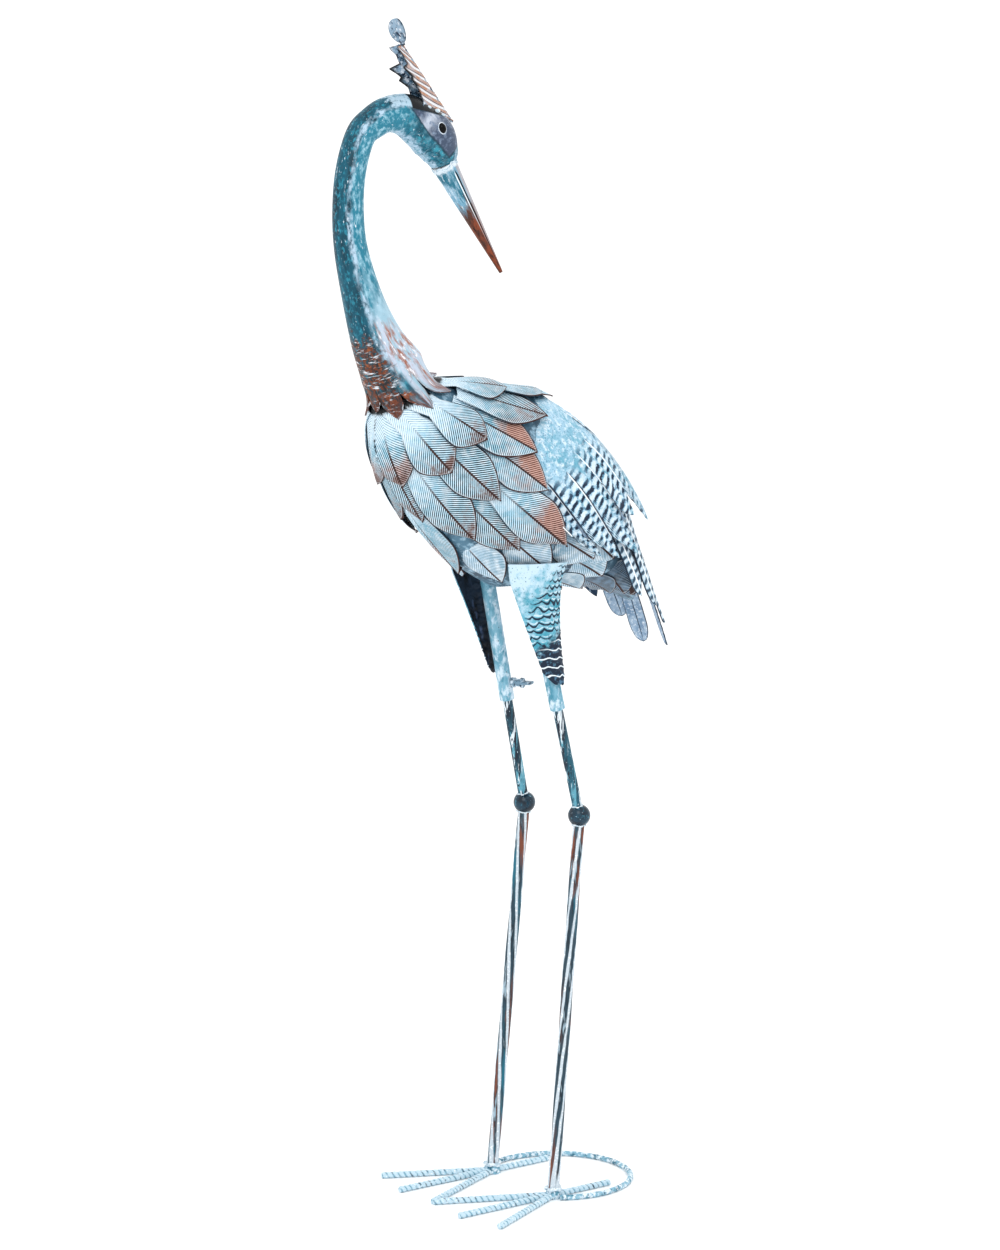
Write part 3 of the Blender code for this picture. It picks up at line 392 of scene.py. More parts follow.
def leaf_shape(bed, length, height, stains, vein_depth=VEIN_DEPTH, one_side=True, root=0.0):
    """A leaf whose rows follow its veins, with the numbers that its paint reads at each vertex; a root
    below 0 runs on under the pieces before it."""
    copper_up, copper_low, brown, ink = stains
    shape = bmesh.new()
    values = carried_values(shape, "vein", "across", "along", "edge", "copper", "brown", "ink", "under")
    places = np.linspace(root, 1.0, 120)
    widths = np.array([leaf_width(v) for v in places])
    low = root * length - VEIN_SLOPE * widths[0]
    rows = round((length - low) / VEIN_STEP * 4)
    tables = {}
    bmesh.ops.create_grid(shape, x_segments=LEAF_COLUMNS, y_segments=rows, size=0.5)
    for vertex in shape.verts:
        column = round(vertex.co.x * LEAF_COLUMNS)
        part = 2.0 * column / LEAF_COLUMNS
        u = math.copysign(abs(part) ** 1.35, part)
        if column not in tables:
            tables[column] = places * length - VEIN_SLOPE * abs(u) * widths
        vein = low + (length - low) * (vertex.co.y + 0.5)
        v = float(np.interp(vein, tables[column], places))
        half = leaf_width(v)
        point, outward = bed(u, v)
        edge = min((1.0 - abs(u)) * half, (1.0 - v) * length * 0.7)
        groove = 1.0 - abs(math.sin(math.pi * vein / VEIN_STEP))
        fade = min(abs(u) * half / 0.0012, edge / 0.0012, (v - root) * length / 0.0012, 1.0)
        curl = 0.007 * max(u, 0.0) ** 2 * v * rise(-outward.z, 0.0, 1.0)
        midrib = 0.0006 * (1.0 - rise(abs(u) * half, 0.0, 0.0016)) * (1.0 - 0.6 * v)
        lift = height(u, max(v, 0.0)) + 0.005 * min(v, 0.0) - vein_depth * groove * fade
        vertex.co = point + outward * (lift - curl - midrib)
        vertex[values["vein"]] = vein / VEIN_STEP
        vertex[values["across"]] = abs(u) * half * 1000.0
        vertex[values["along"]] = v
        vertex[values["edge"]] = edge * 1000.0
        vertex[values["copper"]] = (copper_up if u < 0.0 else copper_low) * rise(v, 0.40, 0.65)
        vertex[values["brown"]] = brown * rise(v, 0.50, 0.90)
        vertex[values["ink"]] = ink * rise(v, 0.12, 0.57)
        # Painted shade: near the neck's foot the root is marked to be painted near-black, for the dark gap
        # under the petals
        if root:
            vertex[values["under"]] = rise((vertex.co - NECK_FOOT).length, 0.0385, 0.0370)
    bmesh.ops.remove_doubles(shape, verts=shape.verts, dist=0.00002)
    bmesh.ops.dissolve_degenerate(shape, edges=shape.edges, dist=0.00005)
    if one_side:
        for vertex in shape.verts:
            vertex.co.y = min(vertex.co.y, -MIDDLE_GAP)
    return shape


def leaf_paint(name, ground, light, teal, ink_share):
    """Stamped and painted leaf: dark veins and midrib, pale ribs between, stained tip, dark rim, and
    near-black painted shade on the root under the neck.
    """
    paint = Paint(name, ground)
    along = paint.carried("along")
    ink = paint.carried("ink")
    edge = paint.carried("edge")
    paint.brush([(teal, 24.0, 0.45, 0.62), (light, 6.0, 0.44, 0.62)])
    paint.coat(light, paint.ragged(along, 8.0, 0.35).rise(0.36, 0.05))
    copper = paint.ragged(paint.carried("copper"), 10.0, 0.55).rise(0.22, 0.85)
    paint.coat("#BF8065", copper * 0.9)
    brown = paint.ragged(paint.carried("brown"), 6.0, 0.60).rise(0.35, 0.90)
    paint.coat("#72483A", brown)
    stained = brown.step("MAXIMUM", brown, copper)
    phase = ink.step("FRACT", paint.carried("vein"))
    groove = paint.ragged(abs(phase - 0.5) * 2.0, 3.0, 0.22)
    paint.coat("#DCEBF4", groove.rise(0.50, 0.15) * (ink * 0.45 + 0.25) * (1.0 - stained * 0.6))
    line = (groove + ink * 0.24).rise(0.72, 0.863) * (ink * (1.0 - ink_share) + ink_share)
    dark = paint.mixed("#22627A", "#0F1922", ink.rise(0.1, 0.6))
    paint.coat(paint.mixed(dark, "#3A1D16", stained), line)
    paint.coat("#3D2521", paint.carried("across").rise(1.05, 0.60) * along.rise(0.0, 0.5))
    paint.coat("#E4EEF4", edge.rise(2.4, 1.4) * 0.35)
    rim = edge.rise(1.25, 0.75)
    paint.coat("#274353", rim * along.rise(0.05, 0.25))
    paint.coat("#43201A", rim * along.rise(0.40, 0.75))
    # Painted shade: near-black on the root where it runs under the neck's petals
    paint.coat("#0D1216", paint.carried("under"))
    return paint.dried(1.5, 0.12)


# Stamped sheet under rubbed enamel, semi-matt: the dark in the stamped veins makes the leaf read at a
# distance. The plain leaves are greyer, and the ones under the rump are navy.
LEAF_PAINT = leaf_paint("stamped_leaf_enamel_and_root_shade", "#92C4DA", "#D0E4F0", "#4C9DB5", 0.85)
PLAIN_LEAF_PAINT = leaf_paint("plain_leaf_enamel", "#A3C0D3", "#DAE7F0", "#7CA5BC", 0.60)
NAVY_LEAF_PAINT = leaf_paint("navy_leaf_enamel", "#22364C", "#5D7993", "#1A2C40", 0.40)

for leaf, share, degrees, *stains in LEAVES:
    node = "feather_" + leaf
    near_neck = leaf.startswith("a")
    bed, length = leaf_bed(share, math.radians(degrees), LEAF_LENGTH, near_neck)
    if leaf.endswith("middle"):
        shape = leaf_shape(bed, length, solid_height(node, bed), stains, one_side=False)
        finish_piece("leaf_" + leaf, shape, LEAF_PAINT, [node], LEAF_SHEET)
    else:
        shape = leaf_shape(bed, length, solid_height(node + "_left", bed), stains,
                           root=ROOT_UNDER_NECK if near_neck else 0.0)
        both_sides("leaf_" + leaf, shape, LEAF_PAINT, node, LEAF_SHEET)

for count, (share, degrees, length) in enumerate(BELLY_LEAVES, 1):
    bed, length = leaf_bed(share, math.radians(degrees), length)
    shape = leaf_shape(bed, length, lambda u, v: 0.0098 * v ** 1.2 - 0.0019,
                       (0.0, 0.0, 0.1, 0.35), 0.0002, degrees != 180)
    paint = NAVY_LEAF_PAINT if share > 0.80 else PLAIN_LEAF_PAINT
    name = "belly_leaf_%d" % count
    if degrees == 180:
        finish_piece(name + "_left", shape, paint, sheet=LEAF_SHEET)
    else:
        both_sides(name, shape, paint, sheet=LEAF_SHEET)


# Tail
# Long steel feathers hang from the rump in pairs. Each has a midrib and rows of stamped dabs, in
# slate and white over powder blue, and rounded ends.
TAIL_SHEET = 0.0009
TAIL_WIDTH = 0.0185
TAIL_ROOT = 0.70
DAB_LENGTH = 0.0085
# Share of the body's length at the tip, how far out, how far up, angle round the body, facing angle
TAIL_FEATHERS = (
    (1.150, 0.0175, -0.0150, 12, 28),
    (1.070, 0.0300, -0.0070, 34, 42),
    (0.985, 0.0400, -0.0055, 56, 62),
    (0.905, 0.0500, -0.0110, 78, 78),
)


def dabbed_paint(name, ground, light, dark, wash):
    """Powder blue paint with rows of dark dabs and white ones between, as stamped plumage has."""
    paint = Paint(name, ground)
    paint.brush([(wash, 24.0, 0.46, 0.62), (light, 5.0, 0.48, 0.64), ("#5F8CA8", 1.6, 0.54, 0.66)])
    strength = paint.carried("dark")
    dab = paint.ragged(paint.carried("dab"), 2.4, 0.9)
    quill = paint.carried("quill")
    paint.coat("#DCE8F0", dab.rise(0.05, -0.45) * strength * 0.8)
    paint.coat("#5E85A0", dab.rise(0.0, 0.35) * strength)
    paint.coat(dark, dab.rise(0.20, 0.48) * strength)
    paint.coat("#F2F7FA", quill.rise(0.10, 0.35))
    paint.coat("#182A3E", quill.rise(-0.10, -0.35))
    return paint.dried(1.8, 0.2)


def unevenly(point, size_mm):
    """Two slow random shifts, so that hand-laid dabs don't stand in straight rows."""
    return (noise.noise(point * (1000.0 / size_mm)),
            noise.noise(point * (1000.0 / size_mm) + Vector((7.0, 3.0, 5.0))))


# The same rubbed enamel over stamped dabs: pale ridges and navy hollows, in rows as on real plumage
TAIL_PAINT = dabbed_paint("dabbed_tail_enamel", "#7FA6BC", "#C3D6E2", "#21364A", "#3F7186")

# The plainer inner side: speckled lilac blue, and navy where the feather is a dark one
back_paint = Paint("speckled_back_enamel", "#A3BAD0")
navy = back_paint.carried("navy")
back_paint.brush([("#7C98B4", 9.0, 0.45, 0.62), ("#D8E2EC", 2.5, 0.52, 0.64)])
back_paint.coat("#36506A", back_paint.ragged(navy, 8.0, 0.5).rise(0.25, 0.75))
back_paint.coat("#B9CBDA", back_paint.patches(5.0, 0.57, 0.66) * navy)
back_paint.coat("#2B4258", abs(back_paint.carried("quill")).rise(0.3, 0.8))
SHEET_BACK_PAINT = back_paint.dried(1.8, 0.2)

for count, (share, out, up, degrees, facing) in enumerate(TAIL_FEATHERS):
    angle = math.radians(degrees)
    root = ring_point(TAIL_ROOT, angle, girth(TAIL_ROOT) + 0.05)
    tip = BREAST + BODY_AXIS * (share * BODY_LENGTH) + BODY_BACK * up - Vector((0.0, out, 0.0))
    run = (tip - root).normalized()
    outward = Vector((math.cos(math.radians(facing)), -math.sin(math.radians(facing)), 0.35))
    across = run.cross(outward).normalized()
    face = across.cross(run).normalized()
    reach = (tip - root).length

    def tail_bed(u, v, root=root, tip=tip, across=across, face=face, count=count):
        blunt = 0.12 if count < 2 else 0.30
        end = rise(v, 1.0 - blunt, 1.0)
        width = 0.5 * TAIL_WIDTH * max(1.0 - end * end, 0.0) ** (0.5 if count < 2 else 0.8)
        width *= 0.72 + 0.28 * min(v / 0.8, 1.0)
        bow = 0.006 * math.sin(math.pi * v) * (count / 4.0 - 0.45)
        return root.lerp(tip, v) + across * (u * width) + face * (bow + count * 0.0017), face

    node = "tail_feather_%d" % (count + 1)
    height = solid_height(node + "_left", tail_bed)
    shape = bmesh.new()
    values = carried_values(shape, "dab", "dark", "quill", "navy")
    bmesh.ops.create_grid(shape, x_segments=14, y_segments=110, size=0.5)
    for vertex in shape.verts:
        u = vertex.co.x * 2.0
        v = vertex.co.y + 0.5
        point, outward = tail_bed(u, v)
        shift, drift = unevenly(point, 9.0)
        place = reach * v / DAB_LENGTH + 0.30 * shift + (0.5 if u > 0.0 else 0.0)
        dab = math.cos(2.0 * math.pi * place) * math.sin(math.pi * min(abs(u) + 0.10 * drift, 1.0))
        vertex.co = point + outward * (height(u, v) + 0.0003 * dab - 0.0007 * abs(u) ** 2
                                       + 0.0005 * max(1.0 - abs(u) * 5.0, 0.0))
        vertex[values["dab"]] = dab
        vertex[values["dark"]] = 0.9
        vertex[values["quill"]] = max(1.0 - abs(u) * 8.0, 0.0) - max((abs(u) - 0.88) * 8.0, 0.0)
        vertex[values["navy"]] = (0.05, 0.10, 0.90, 0.75)[count]
    bmesh.ops.remove_doubles(shape, verts=shape.verts, dist=0.00002)
    bmesh.ops.dissolve_degenerate(shape, edges=shape.edges, dist=0.00005)
    for vertex in shape.verts:
        vertex.co.y = min(vertex.co.y, -MIDDLE_GAP)
    both_sides("tail_%d" % (count + 1), shape, TAIL_PAINT, node, TAIL_SHEET,
               SHEET_BACK_PAINT)


# Wings
# One steel sheet over each flank, smooth at the shoulder and slit into six long fingers behind.
# White quills mark the fingers, and rows of stamped navy dabs run down them.
WING_FRONT = 0.375
WING_TOP_ANGLE = 9
WING_LOW_ANGLE = 99
WING_NOTCH = 0.085
WING_SHEET = 0.0010
WING_FINGERS = ((0.61, 15), (0.83, 44), (0.745, 61), (0.81, 79), (0.75, 93), (0.69, 102))
WING_COLUMNS = 144
WING_ROWS = 120
WING_UNDER = 0.16
WING_FRONT_NOTCH = 0.14

tips = [(share, math.radians(degrees)) for share, degrees in WING_FINGERS]
wing_ends = []
for place, tip in enumerate(tips):
    before = tips[max(place - 1, 0)]
    share = min(tip[0], before[0]) - (WING_NOTCH if place else WING_FRONT_NOTCH)
    wing_ends.append((share, (tip[1] + before[1]) / 2.0 if place else math.radians(WING_TOP_ANGLE)))
    wing_ends.append(tip)
wing_ends.append((tips[-1][0] - 0.13, math.radians(WING_LOW_ANGLE + 3)))


def wing_bed(u, v):
    """Point of the left wing before its relief, and the direction out of it."""
    columns = len(wing_ends) - 1
    place = min(max((u + 1.0) * 0.5 * columns, 0.0), columns)
    low = min(int(place), columns - 1)
    part = place - low
    (first, first_angle), (second, second_angle) = wing_ends[low], wing_ends[low + 1]
    rounded = part ** 1.5 if low % 2 else 1.0 - (1.0 - part) ** 1.5
    end_share = first * (1.0 - rounded) + second * rounded
    end_angle = first_angle * (1.0 - part) + second_angle * part
    start_angle = math.radians(WING_TOP_ANGLE + (WING_LOW_ANGLE - WING_TOP_ANGLE) * place / columns)
    share = WING_FRONT + (end_share - WING_FRONT) * v
    angle = start_angle + (end_angle - start_angle) * v
    point = ring_point(share, angle, 1.02 + 0.06 * rise(share, 0.42, 0.57) - 2.0 * (share - 0.5) ** 2)
    away = BODY_BACK * math.cos(angle) - Vector((0.0, math.sin(angle), 0.0))
    return point + away * (0.007 * (angle / math.radians(WING_LOW_ANGLE)) ** 2 * v), away


# Powder blue enamel, bluer and cleaner than the tail, with near-black navy in the dabs
WING_PAINT = dabbed_paint("dabbed_wing_enamel", "#9CC3D8", "#D2E4EF", "#1C2C42", "#6CAAC0")

height = solid_height("wing_left", wing_bed)
shape = bmesh.new()
values = carried_values(shape, "dab", "dark", "quill", "navy")
bmesh.ops.create_grid(shape, x_segments=WING_COLUMNS, y_segments=WING_ROWS, size=0.5)
for vertex in shape.verts:
    u = vertex.co.x * 2.0
    v = (vertex.co.y + 0.5) * (1.0 + WING_UNDER) - WING_UNDER
    point, outward = wing_bed(u, v)
    finger = (u + 1.0) * 3.0
    across = finger - math.floor(finger)
    shift, drift = unevenly(point, 11.0)
    distance = (point - BREAST).dot(BODY_AXIS) / DAB_LENGTH + 0.30 * shift
    start = 0.42 - 0.05 * finger + 0.06 * drift
    rear = rise(v, start, start + 0.22)
    dab = math.cos(2.0 * math.pi * distance) * math.cos(2.0 * math.pi * (across - 0.25 + 0.10 * drift))
    line = rise(v, start + 0.08, start + 0.18)
    quill = max(1.0 - min(across, 1.0 - across) * 11.0, 0.0) * (1.0 if across < 0.5 else -1.0)
    shingle = 0.0020 * (across - 0.5) * rear
    vertex.co = point + outward * (height(u, max(v, 0.0)) + 0.045 * min(v, 0.0) - shingle
                                   - 0.0006 * dab * rear + 0.0005 * max(quill, 0.0) * line)
    vertex[values["dab"]] = dab
    vertex[values["dark"]] = rear * (0.55 + 0.45 * rise(finger, 0.6, 2.2))
    vertex[values["quill"]] = quill * line
    vertex[values["navy"]] = 0.5
bmesh.ops.remove_doubles(shape, verts=shape.verts, dist=0.00002)
both_sides("wing_sheet", shape, WING_PAINT, "wing", WING_SHEET, SHEET_BACK_PAINT)


# Neck and head
# One formed steel tube from the shoulders to the bill. Its foot flares and is cut into petals that
# lie on the leaves. Teal paint is brushed with pale stripes that are painted highlights, and rust
# shows at the foot. The head has painted highlights on the crown and in the mask, and painted
# shadow under the crest.
NECK_LINE = (
    (0.0249, -0.0135, 0.0375), (0.0116, 0.0031, 0.0330), (0.0031, 0.0155, 0.0288),
    (-0.0114, 0.0392, 0.0230), (-0.0256, 0.0739, 0.0178), (-0.0376, 0.1168, 0.0146),
    (-0.0404, 0.1518, 0.0136), (-0.0372, 0.1849, 0.0132), (-0.0274, 0.2138, 0.0131),
    (-0.0143, 0.2255, 0.0141), (0.0013, 0.2327, 0.0155), (0.0196, 0.2323, 0.0186),
    (0.0347, 0.2238, 0.0198), (0.0481, 0.2138, 0.0212), (0.0561, 0.2011, 0.0172),
    (0.0598, 0.1916, 0.0124),
)
HEAD_START = 0.0013
HEAD_NARROWING = 0.86
# Start and end angle from the back, in degrees, and how far the petal reaches from the foot's middle
PETALS = ((0, 45, 0.0385), (45, 90, 0.0400), (90, 129, 0.0400), (129, 165, 0.0400), (165, 195, 0.0345))
NECK_COLUMNS = 120
PETAL_ROWS = 34
NECK_STEPS = 12
TUBE_START = 2 * NECK_STEPS
NECK_SHEET = 0.0009
PETAL_REACHES = (0.030, 0.034, 0.038, 0.042)
EYE_CENTRE = BREAST + Vector((0.0456, -0.0172, 0.2213))


def smooth_line(rows, steps):
    """Catmull-Rom curve through rows of numbers, with a fixed count of steps between rows."""
    table = np.array(rows, dtype=float)
    ends = np.vstack([2 * table[0] - table[1], table, 2 * table[-1] - table[-2]])
    points = []
    for place in range(len(table) - 1):
        before, start, stop, after = ends[place:place + 4]
        for step in range(steps):
            part = step / steps
            points.append(0.5 * (2 * start + (stop - before) * part
                                 + (2 * before - 5 * start + 4 * stop - after) * part ** 2
                                 + (3 * start - before - 3 * stop + after) * part ** 3))
    points.append(table[-1])
    return points


NECK_CURVE = smooth_line(NECK_LINE, NECK_STEPS)


def neck_ring(place, angle):
    """A point of the neck tube: place counts steps along it, the angle runs from the back leftwards."""
    low = min(int(place), len(NECK_CURVE) - 2)
    row = NECK_CURVE[low] + (NECK_CURVE[low + 1] - NECK_CURVE[low]) * (place - low)
    near = max(min(low, len(NECK_CURVE) - 2), 1)
    run = NECK_CURVE[near + 1] - NECK_CURVE[near - 1]
    run = Vector((run[0], 0.0, run[1])).normalized()
    back = Vector((0.0, -1.0, 0.0)).cross(run).normalized() * -1.0
    point = BREAST + Vector((row[0], 0.0, row[1]))
    point += (back * math.cos(angle) - Vector((0.0, math.sin(angle), 0.0))) * row[2]
    if row[1] > 0.12:
        point.y *= 1.0 - (1.0 - HEAD_NARROWING) * rise(row[0], HEAD_START, HEAD_START + 0.025)
    return point


# Teal enamel, satin, with a pale stripe down each side, a painted highlight brushed on in broken patches,
# that makes the tube read as round
paint = Paint("teal_enamel_and_painted_light", "#10586C", 0.42)
paint.follow("straight")
inner = paint.carried("inner")
cheek = paint.carried("cheek")
paint.brush([("#083A4A", 11.0, 0.44, 0.60, 0.35), ("#2F879C", 3.0, 0.52, 0.66, 0.7)])
inside = paint.ragged(inner, 12.0, 0.8, 0.35).rise(0.35, 0.75) * (1.0 - cheek * 0.75)
paint.coat("#2F8299", inside * 0.85)
paint.coat("#9CC6D6", inside * paint.patches(5.0, 0.48, 0.66, 0.6))
paint.coat("#3D94A8", cheek * paint.patches(5.0, 0.52, 0.64, 0.35))
pale = paint.ragged(paint.carried("lower") * inner, 10.0, 0.7, 0.35).rise(0.35, 0.80)
paint.coat("#A9C8D8", pale * 0.8)
# Painted highlight: a broken pale stripe down each side of the tube, and pale paint towards the back of the
# neck
stripe = paint.ragged(paint.carried("stripe"), 8.0, 1.1, 0.35).rise(0.50, 1.05)
paint.coat("#AFC8DA", stripe * paint.patches(3.0, 0.36, 0.56, 0.6))
paint.coat("#D9E5EE", paint.patches(1.8, 0.63, 0.70, 0.35))
# Rose and white streaks low on the sides
rose = paint.ragged(paint.carried("rose"), 9.0, 0.9, 0.2)
paint.coat("#BCC6D6", rose.rise(0.40, 0.90) * paint.patches(2.6, 0.38, 0.58, 0.14))
paint.coat("#9C6753", rose.rise(0.45, 0.85) * paint.patches(3.2, 0.47, 0.60, 0.16))
paint.coat("#E2E4EA", rose.rise(0.45, 0.85) * paint.patches(1.6, 0.56, 0.64, 0.20))
# Rust with pale cross marks on the front of the foot and on the petals
rusty = paint.ragged(paint.carried("foot"), 4.0, 1.0, 0.7).rise(0.40, 0.90)
worn = rusty * paint.patches(1.7, 0.44, 0.54, 0.6)
paint.coat("#2C2422", rusty * 0.85)
paint.coat("#6C3A23", worn)
paint.coat("#A25F38", worn * paint.patches(3.0, 0.54, 0.66, 0.5))
paint.coat("#2A6E82", rusty * paint.patches(4.0, 0.58, 0.66))
paint.coat("#D5DFE8", rusty * paint.patches(6.4, 0.56, 0.64, 4.0))
paint.coat("#69392A", paint.carried("barb") * paint.patches(3.0, 0.30, 0.50, 0.3) * 0.95)
# Lilac mask round the eye with a painted highlight in its upper part, a pale crown that is a painted
# highlight, black painted shadow under the crest, and worn edges
paint.follow()
mask_mm = paint.ragged(paint.carried("mask_mm"), 5.0, 0.8)
veil = mask_mm.rise(-0.5, 0.6)
paint.coat("#46546A", veil)
# Painted highlight: lilac-white in the upper part of the mask
paint.coat("#BBC4D2", paint.ragged(paint.carried("shine") * veil, 7.0, 0.5).rise(0.35, 0.95))
paint.coat("#75849A", veil * paint.patches(4.0, 0.50, 0.66))
paint.coat("#1A3040", abs(mask_mm + 0.3).rise(1.4, 0.2) * 0.75)
# Painted highlight: pale on the crown of the head
paint.coat("#B4CCDC", paint.ragged(paint.carried("crown_highlight"), 4.0, 1.2).rise(0.45, 0.95) * 0.85)
# Painted shadow: near-black on the head under the crest's foot
paint.coat("#0C1116", paint.carried("hollow").rise(0.35, 0.65))
paint.coat("#D3DCE4", paint.carried("edge").rise(0.7, 0.3) * paint.patches(6.0, 0.45, 0.60))
NECK_PAINT = paint.dried()
# Bare steel inside the tube, darkened to nearly black as painted shade; it shows only as the shadow line
# under the petals
PETAL_BACK_PAINT = brushed_paint("bare_steel_painted_shade", "#15181C", [("#2E2A2C", 4.0, 0.5, 0.7)])

rings = len(NECK_CURVE) - 1 - TUBE_START
neck = bmesh.new()
straight_layer = neck.verts.layers.float_vector.new("straight")
values = carried_values(neck, "stripe", "inner", "cheek", "lower", "foot", "rose", "barb", "mask_mm",
                        "shine", "crown_highlight", "hollow", "edge")


def colour_neck(vertex, angle, down):
    """Sets the numbers for the neck's paint from the place round the neck and along it."""
    height = vertex.co.z - BREAST.z
    from_front = math.degrees(abs(math.pi - angle % (2.0 * math.pi)))
    vertex[straight_layer] = Vector((0.015 * math.cos(angle), 0.015 * math.sin(angle), down))
    # A painted highlight about 62 degrees from the front on each side, and pale paint towards the back
    vertex[values["stripe"]] = max(1.0 - abs(from_front - 62.0) / 24.0, 0.0) + 1.2 * rise(
        from_front, 132.0, 160.0)
    vertex[values["inner"]] = rise(from_front, 58.0, 84.0)
    vertex[values["lower"]] = rise(height, 0.120, 0.050)
    front = rise(from_front, 78.0, 44.0)
    vertex[values["foot"]] = rise(height, 0.054, 0.026) * front
    vertex[values["rose"]] = rise(height, 0.064, 0.034) * (1.0 - front)
    vertex[values["barb"]] = 0.0
    place = vertex.co - EYE_CENTRE
    start = Vector((-0.0290, 0.0, 0.0153))
    chord = Vector((0.0399, 0.0, -0.0394)).normalized()
    side = Vector((0.0394, 0.0, 0.0399)).normalized()
    roof = Vector((0.0080, 0.0, 0.0534)).normalized()
    beyond = place - start
    along = beyond.dot(chord)
    mask = beyond.dot(side) + 0.0024 * math.sin(math.pi * rise(along, 0.0, 0.056))
    over = 0.0010 - beyond.dot(roof)
    in_head = 1.0 if height > 0.15 else 0.0
    vertex[values["mask_mm"]] = min(mask, over, 0.056 - along, along + 0.001,
                                    abs(vertex.co.y) - 0.0080) * 1000.0 * in_head - 9.0 * (1.0 - in_head)
    vertex[values["cheek"]] = in_head * rise(vertex.co.x - BREAST.x, 0.004, 0.022) * rise(
        from_front, 175.0, 150.0)
    # A painted highlight across the upper part of the mask
    vertex[values["shine"]] = max(1.0 - abs(along - 0.018) / 0.018, 0.0)
    # A painted highlight on the crown above the mask, and on the head's middle before the eye
    vertex[values["crown_highlight"]] = in_head * max(
        rise(place.x, -0.060, -0.046) * rise(over, 0.0, -0.002) * rise(place.x, 0.020, 0.010),
        rise(abs(vertex.co.y), 0.0100, 0.0080) * rise(place.x, 0.005, 0.012))
    # Painted shadow on the head just under the crest's foot
    vertex[values["hollow"]] = in_head * rise(place.x, -0.031, -0.028) * rise(
        over, 0.0005, -0.0010) * rise(place.x, 0.024, 0.020)
    vertex[values["edge"]] = 9.0


tube = bmesh.ops.create_grid(neck, x_segments=NECK_COLUMNS, y_segments=rings, size=0.5)["verts"]
for vertex in tube:
    angle = 2.0 * math.pi * (vertex.co.x + 0.5)
    place = TUBE_START + (vertex.co.y + 0.5) * rings
    vertex.co = neck_ring(place, angle)
    colour_neck(vertex, angle, 0.42 * (place - TUBE_START) / rings)

foot_up = (NECK_FOOT - BREAST).dot(BODY_BACK)
solid = BVHTree.FromObject(frame["nodes"]["neck_and_head"], bpy.context.evaluated_depsgraph_get())


def petal_bed(reach, angle):
    """Point on the body at a distance from the middle of the neck's foot, and the way out of it."""
    up = foot_up + reach * math.cos(angle)
    out = reach * math.sin(angle)
    wide = math.hypot(up / (0.5 * BODY_DEPTH), out / (0.5 * BODY_WIDTH))
    share = 0.5 * (1.0 - math.sqrt(max(1.0 - min(wide, 0.99) ** 2, 0.0)))
    return shell_frame(share, math.atan2(out / (0.5 * BODY_WIDTH), up / (0.5 * BODY_DEPTH)))


def add_petal(first, last, tip_reach):
    """One petal of the foot between two angles: it leaves the tube and lies down on the leaves."""
    middle = 0.5 * (first + last)
    half = 0.5 * (last - first)
    round_back = math.pi - abs(math.pi - middle)
    lifts = []
    for reach in PETAL_REACHES:
        point, outward = petal_bed(reach, middle)
        hit, _, _, distance = solid.ray_cast(point + outward * 0.03, -outward, 0.04)
        highest = 0.0070 if 0.6 < round_back < 1.8 else 0.0052
        lifts.append(min(0.03 - distance, highest) if hit else 0.004)
    columns = round(math.degrees(last - first) * NECK_COLUMNS / 360.0)
    sheet = bmesh.ops.create_grid(neck, x_segments=columns, y_segments=PETAL_ROWS, size=0.5)["verts"]
    for vertex in sheet:
        u = vertex.co.x * 2.0
        v = vertex.co.y + 0.5
        edge_angle = middle + half * u
        start = neck_ring(TUBE_START, edge_angle)
        run = start - neck_ring(TUBE_START + 1, edge_angle)
        on_tube = start + run.normalized() * (0.020 * v)
        narrow = 1.0 - 0.28 * rise(v, 0.28, 0.62) - 0.72 * rise(v, 0.50, 1.0) ** 1.3
        angle = middle + half * u * narrow
        reach = 0.024 + (tip_reach - 0.024) * v
        point, outward = petal_bed(reach, angle)
        lift = float(np.interp(reach, PETAL_REACHES, lifts)) + 0.0004
        ribs = 0.00035 * math.cos(math.pi * u * 4.0) * rise(v, 0.0, 0.5)
        on_body = point + outward * (lift + ribs + 0.0010 * v ** 3 - 0.0014 * u * u * v)
        blend = rise(v, 0.0, 0.70)
        blend = blend * blend * (3.0 - 2.0 * blend)
        vertex.co = on_tube.lerp(on_body, blend)
        colour_neck(vertex, edge_angle, -0.022 * v)
        vertex[values["barb"]] = rise(v, 0.25, 0.75) * (0.6 + 0.4 * math.cos(math.pi * u * 4.0))
        vertex[values["edge"]] = min((1.0 - abs(u)) * 0.013 * narrow + 0.02 * rise(v, 0.45, 0.30),
                                     (1.0 - v) * 0.022) * 1000.0


for first, last, reach in PETALS:
    add_petal(math.radians(first), math.radians(last), reach)
    if last <= 180:
        add_petal(math.radians(360 - last), math.radians(360 - first), reach)
bmesh.ops.remove_doubles(neck, verts=neck.verts, dist=0.00003)
bmesh.ops.recalc_face_normals(neck, faces=neck.faces)
finish_piece("neck_tube", neck, NECK_PAINT, ["neck_and_head"], NECK_SHEET,
             PETAL_BACK_PAINT)


# Eyes
# Glossy black beads in pale rings of enamel, one on each side of the head.
EYE_RADIUS = 0.0046


def turned(profile, steps=24):
    """A closed shape turned round Z from (radius, height) points that start and end on the axis."""
    shape = bmesh.new()
    corners = [shape.verts.new((radius, 0.0, height)) for radius, height in profile]
    edges = [shape.edges.new(pair) for pair in zip(corners, corners[1:])]
    bmesh.ops.spin(shape, geom=corners + edges, cent=(0, 0, 0), axis=(0, 0, 1), dvec=(0, 0, 0),
                   angle=2.0 * math.pi, steps=steps, use_merge=True, use_normal_flip=False,
                   use_duplicate=False)
    bmesh.ops.remove_doubles(shape, verts=shape.verts, dist=0.000005)
    bmesh.ops.recalc_face_normals(shape, faces=shape.faces)
    return shape


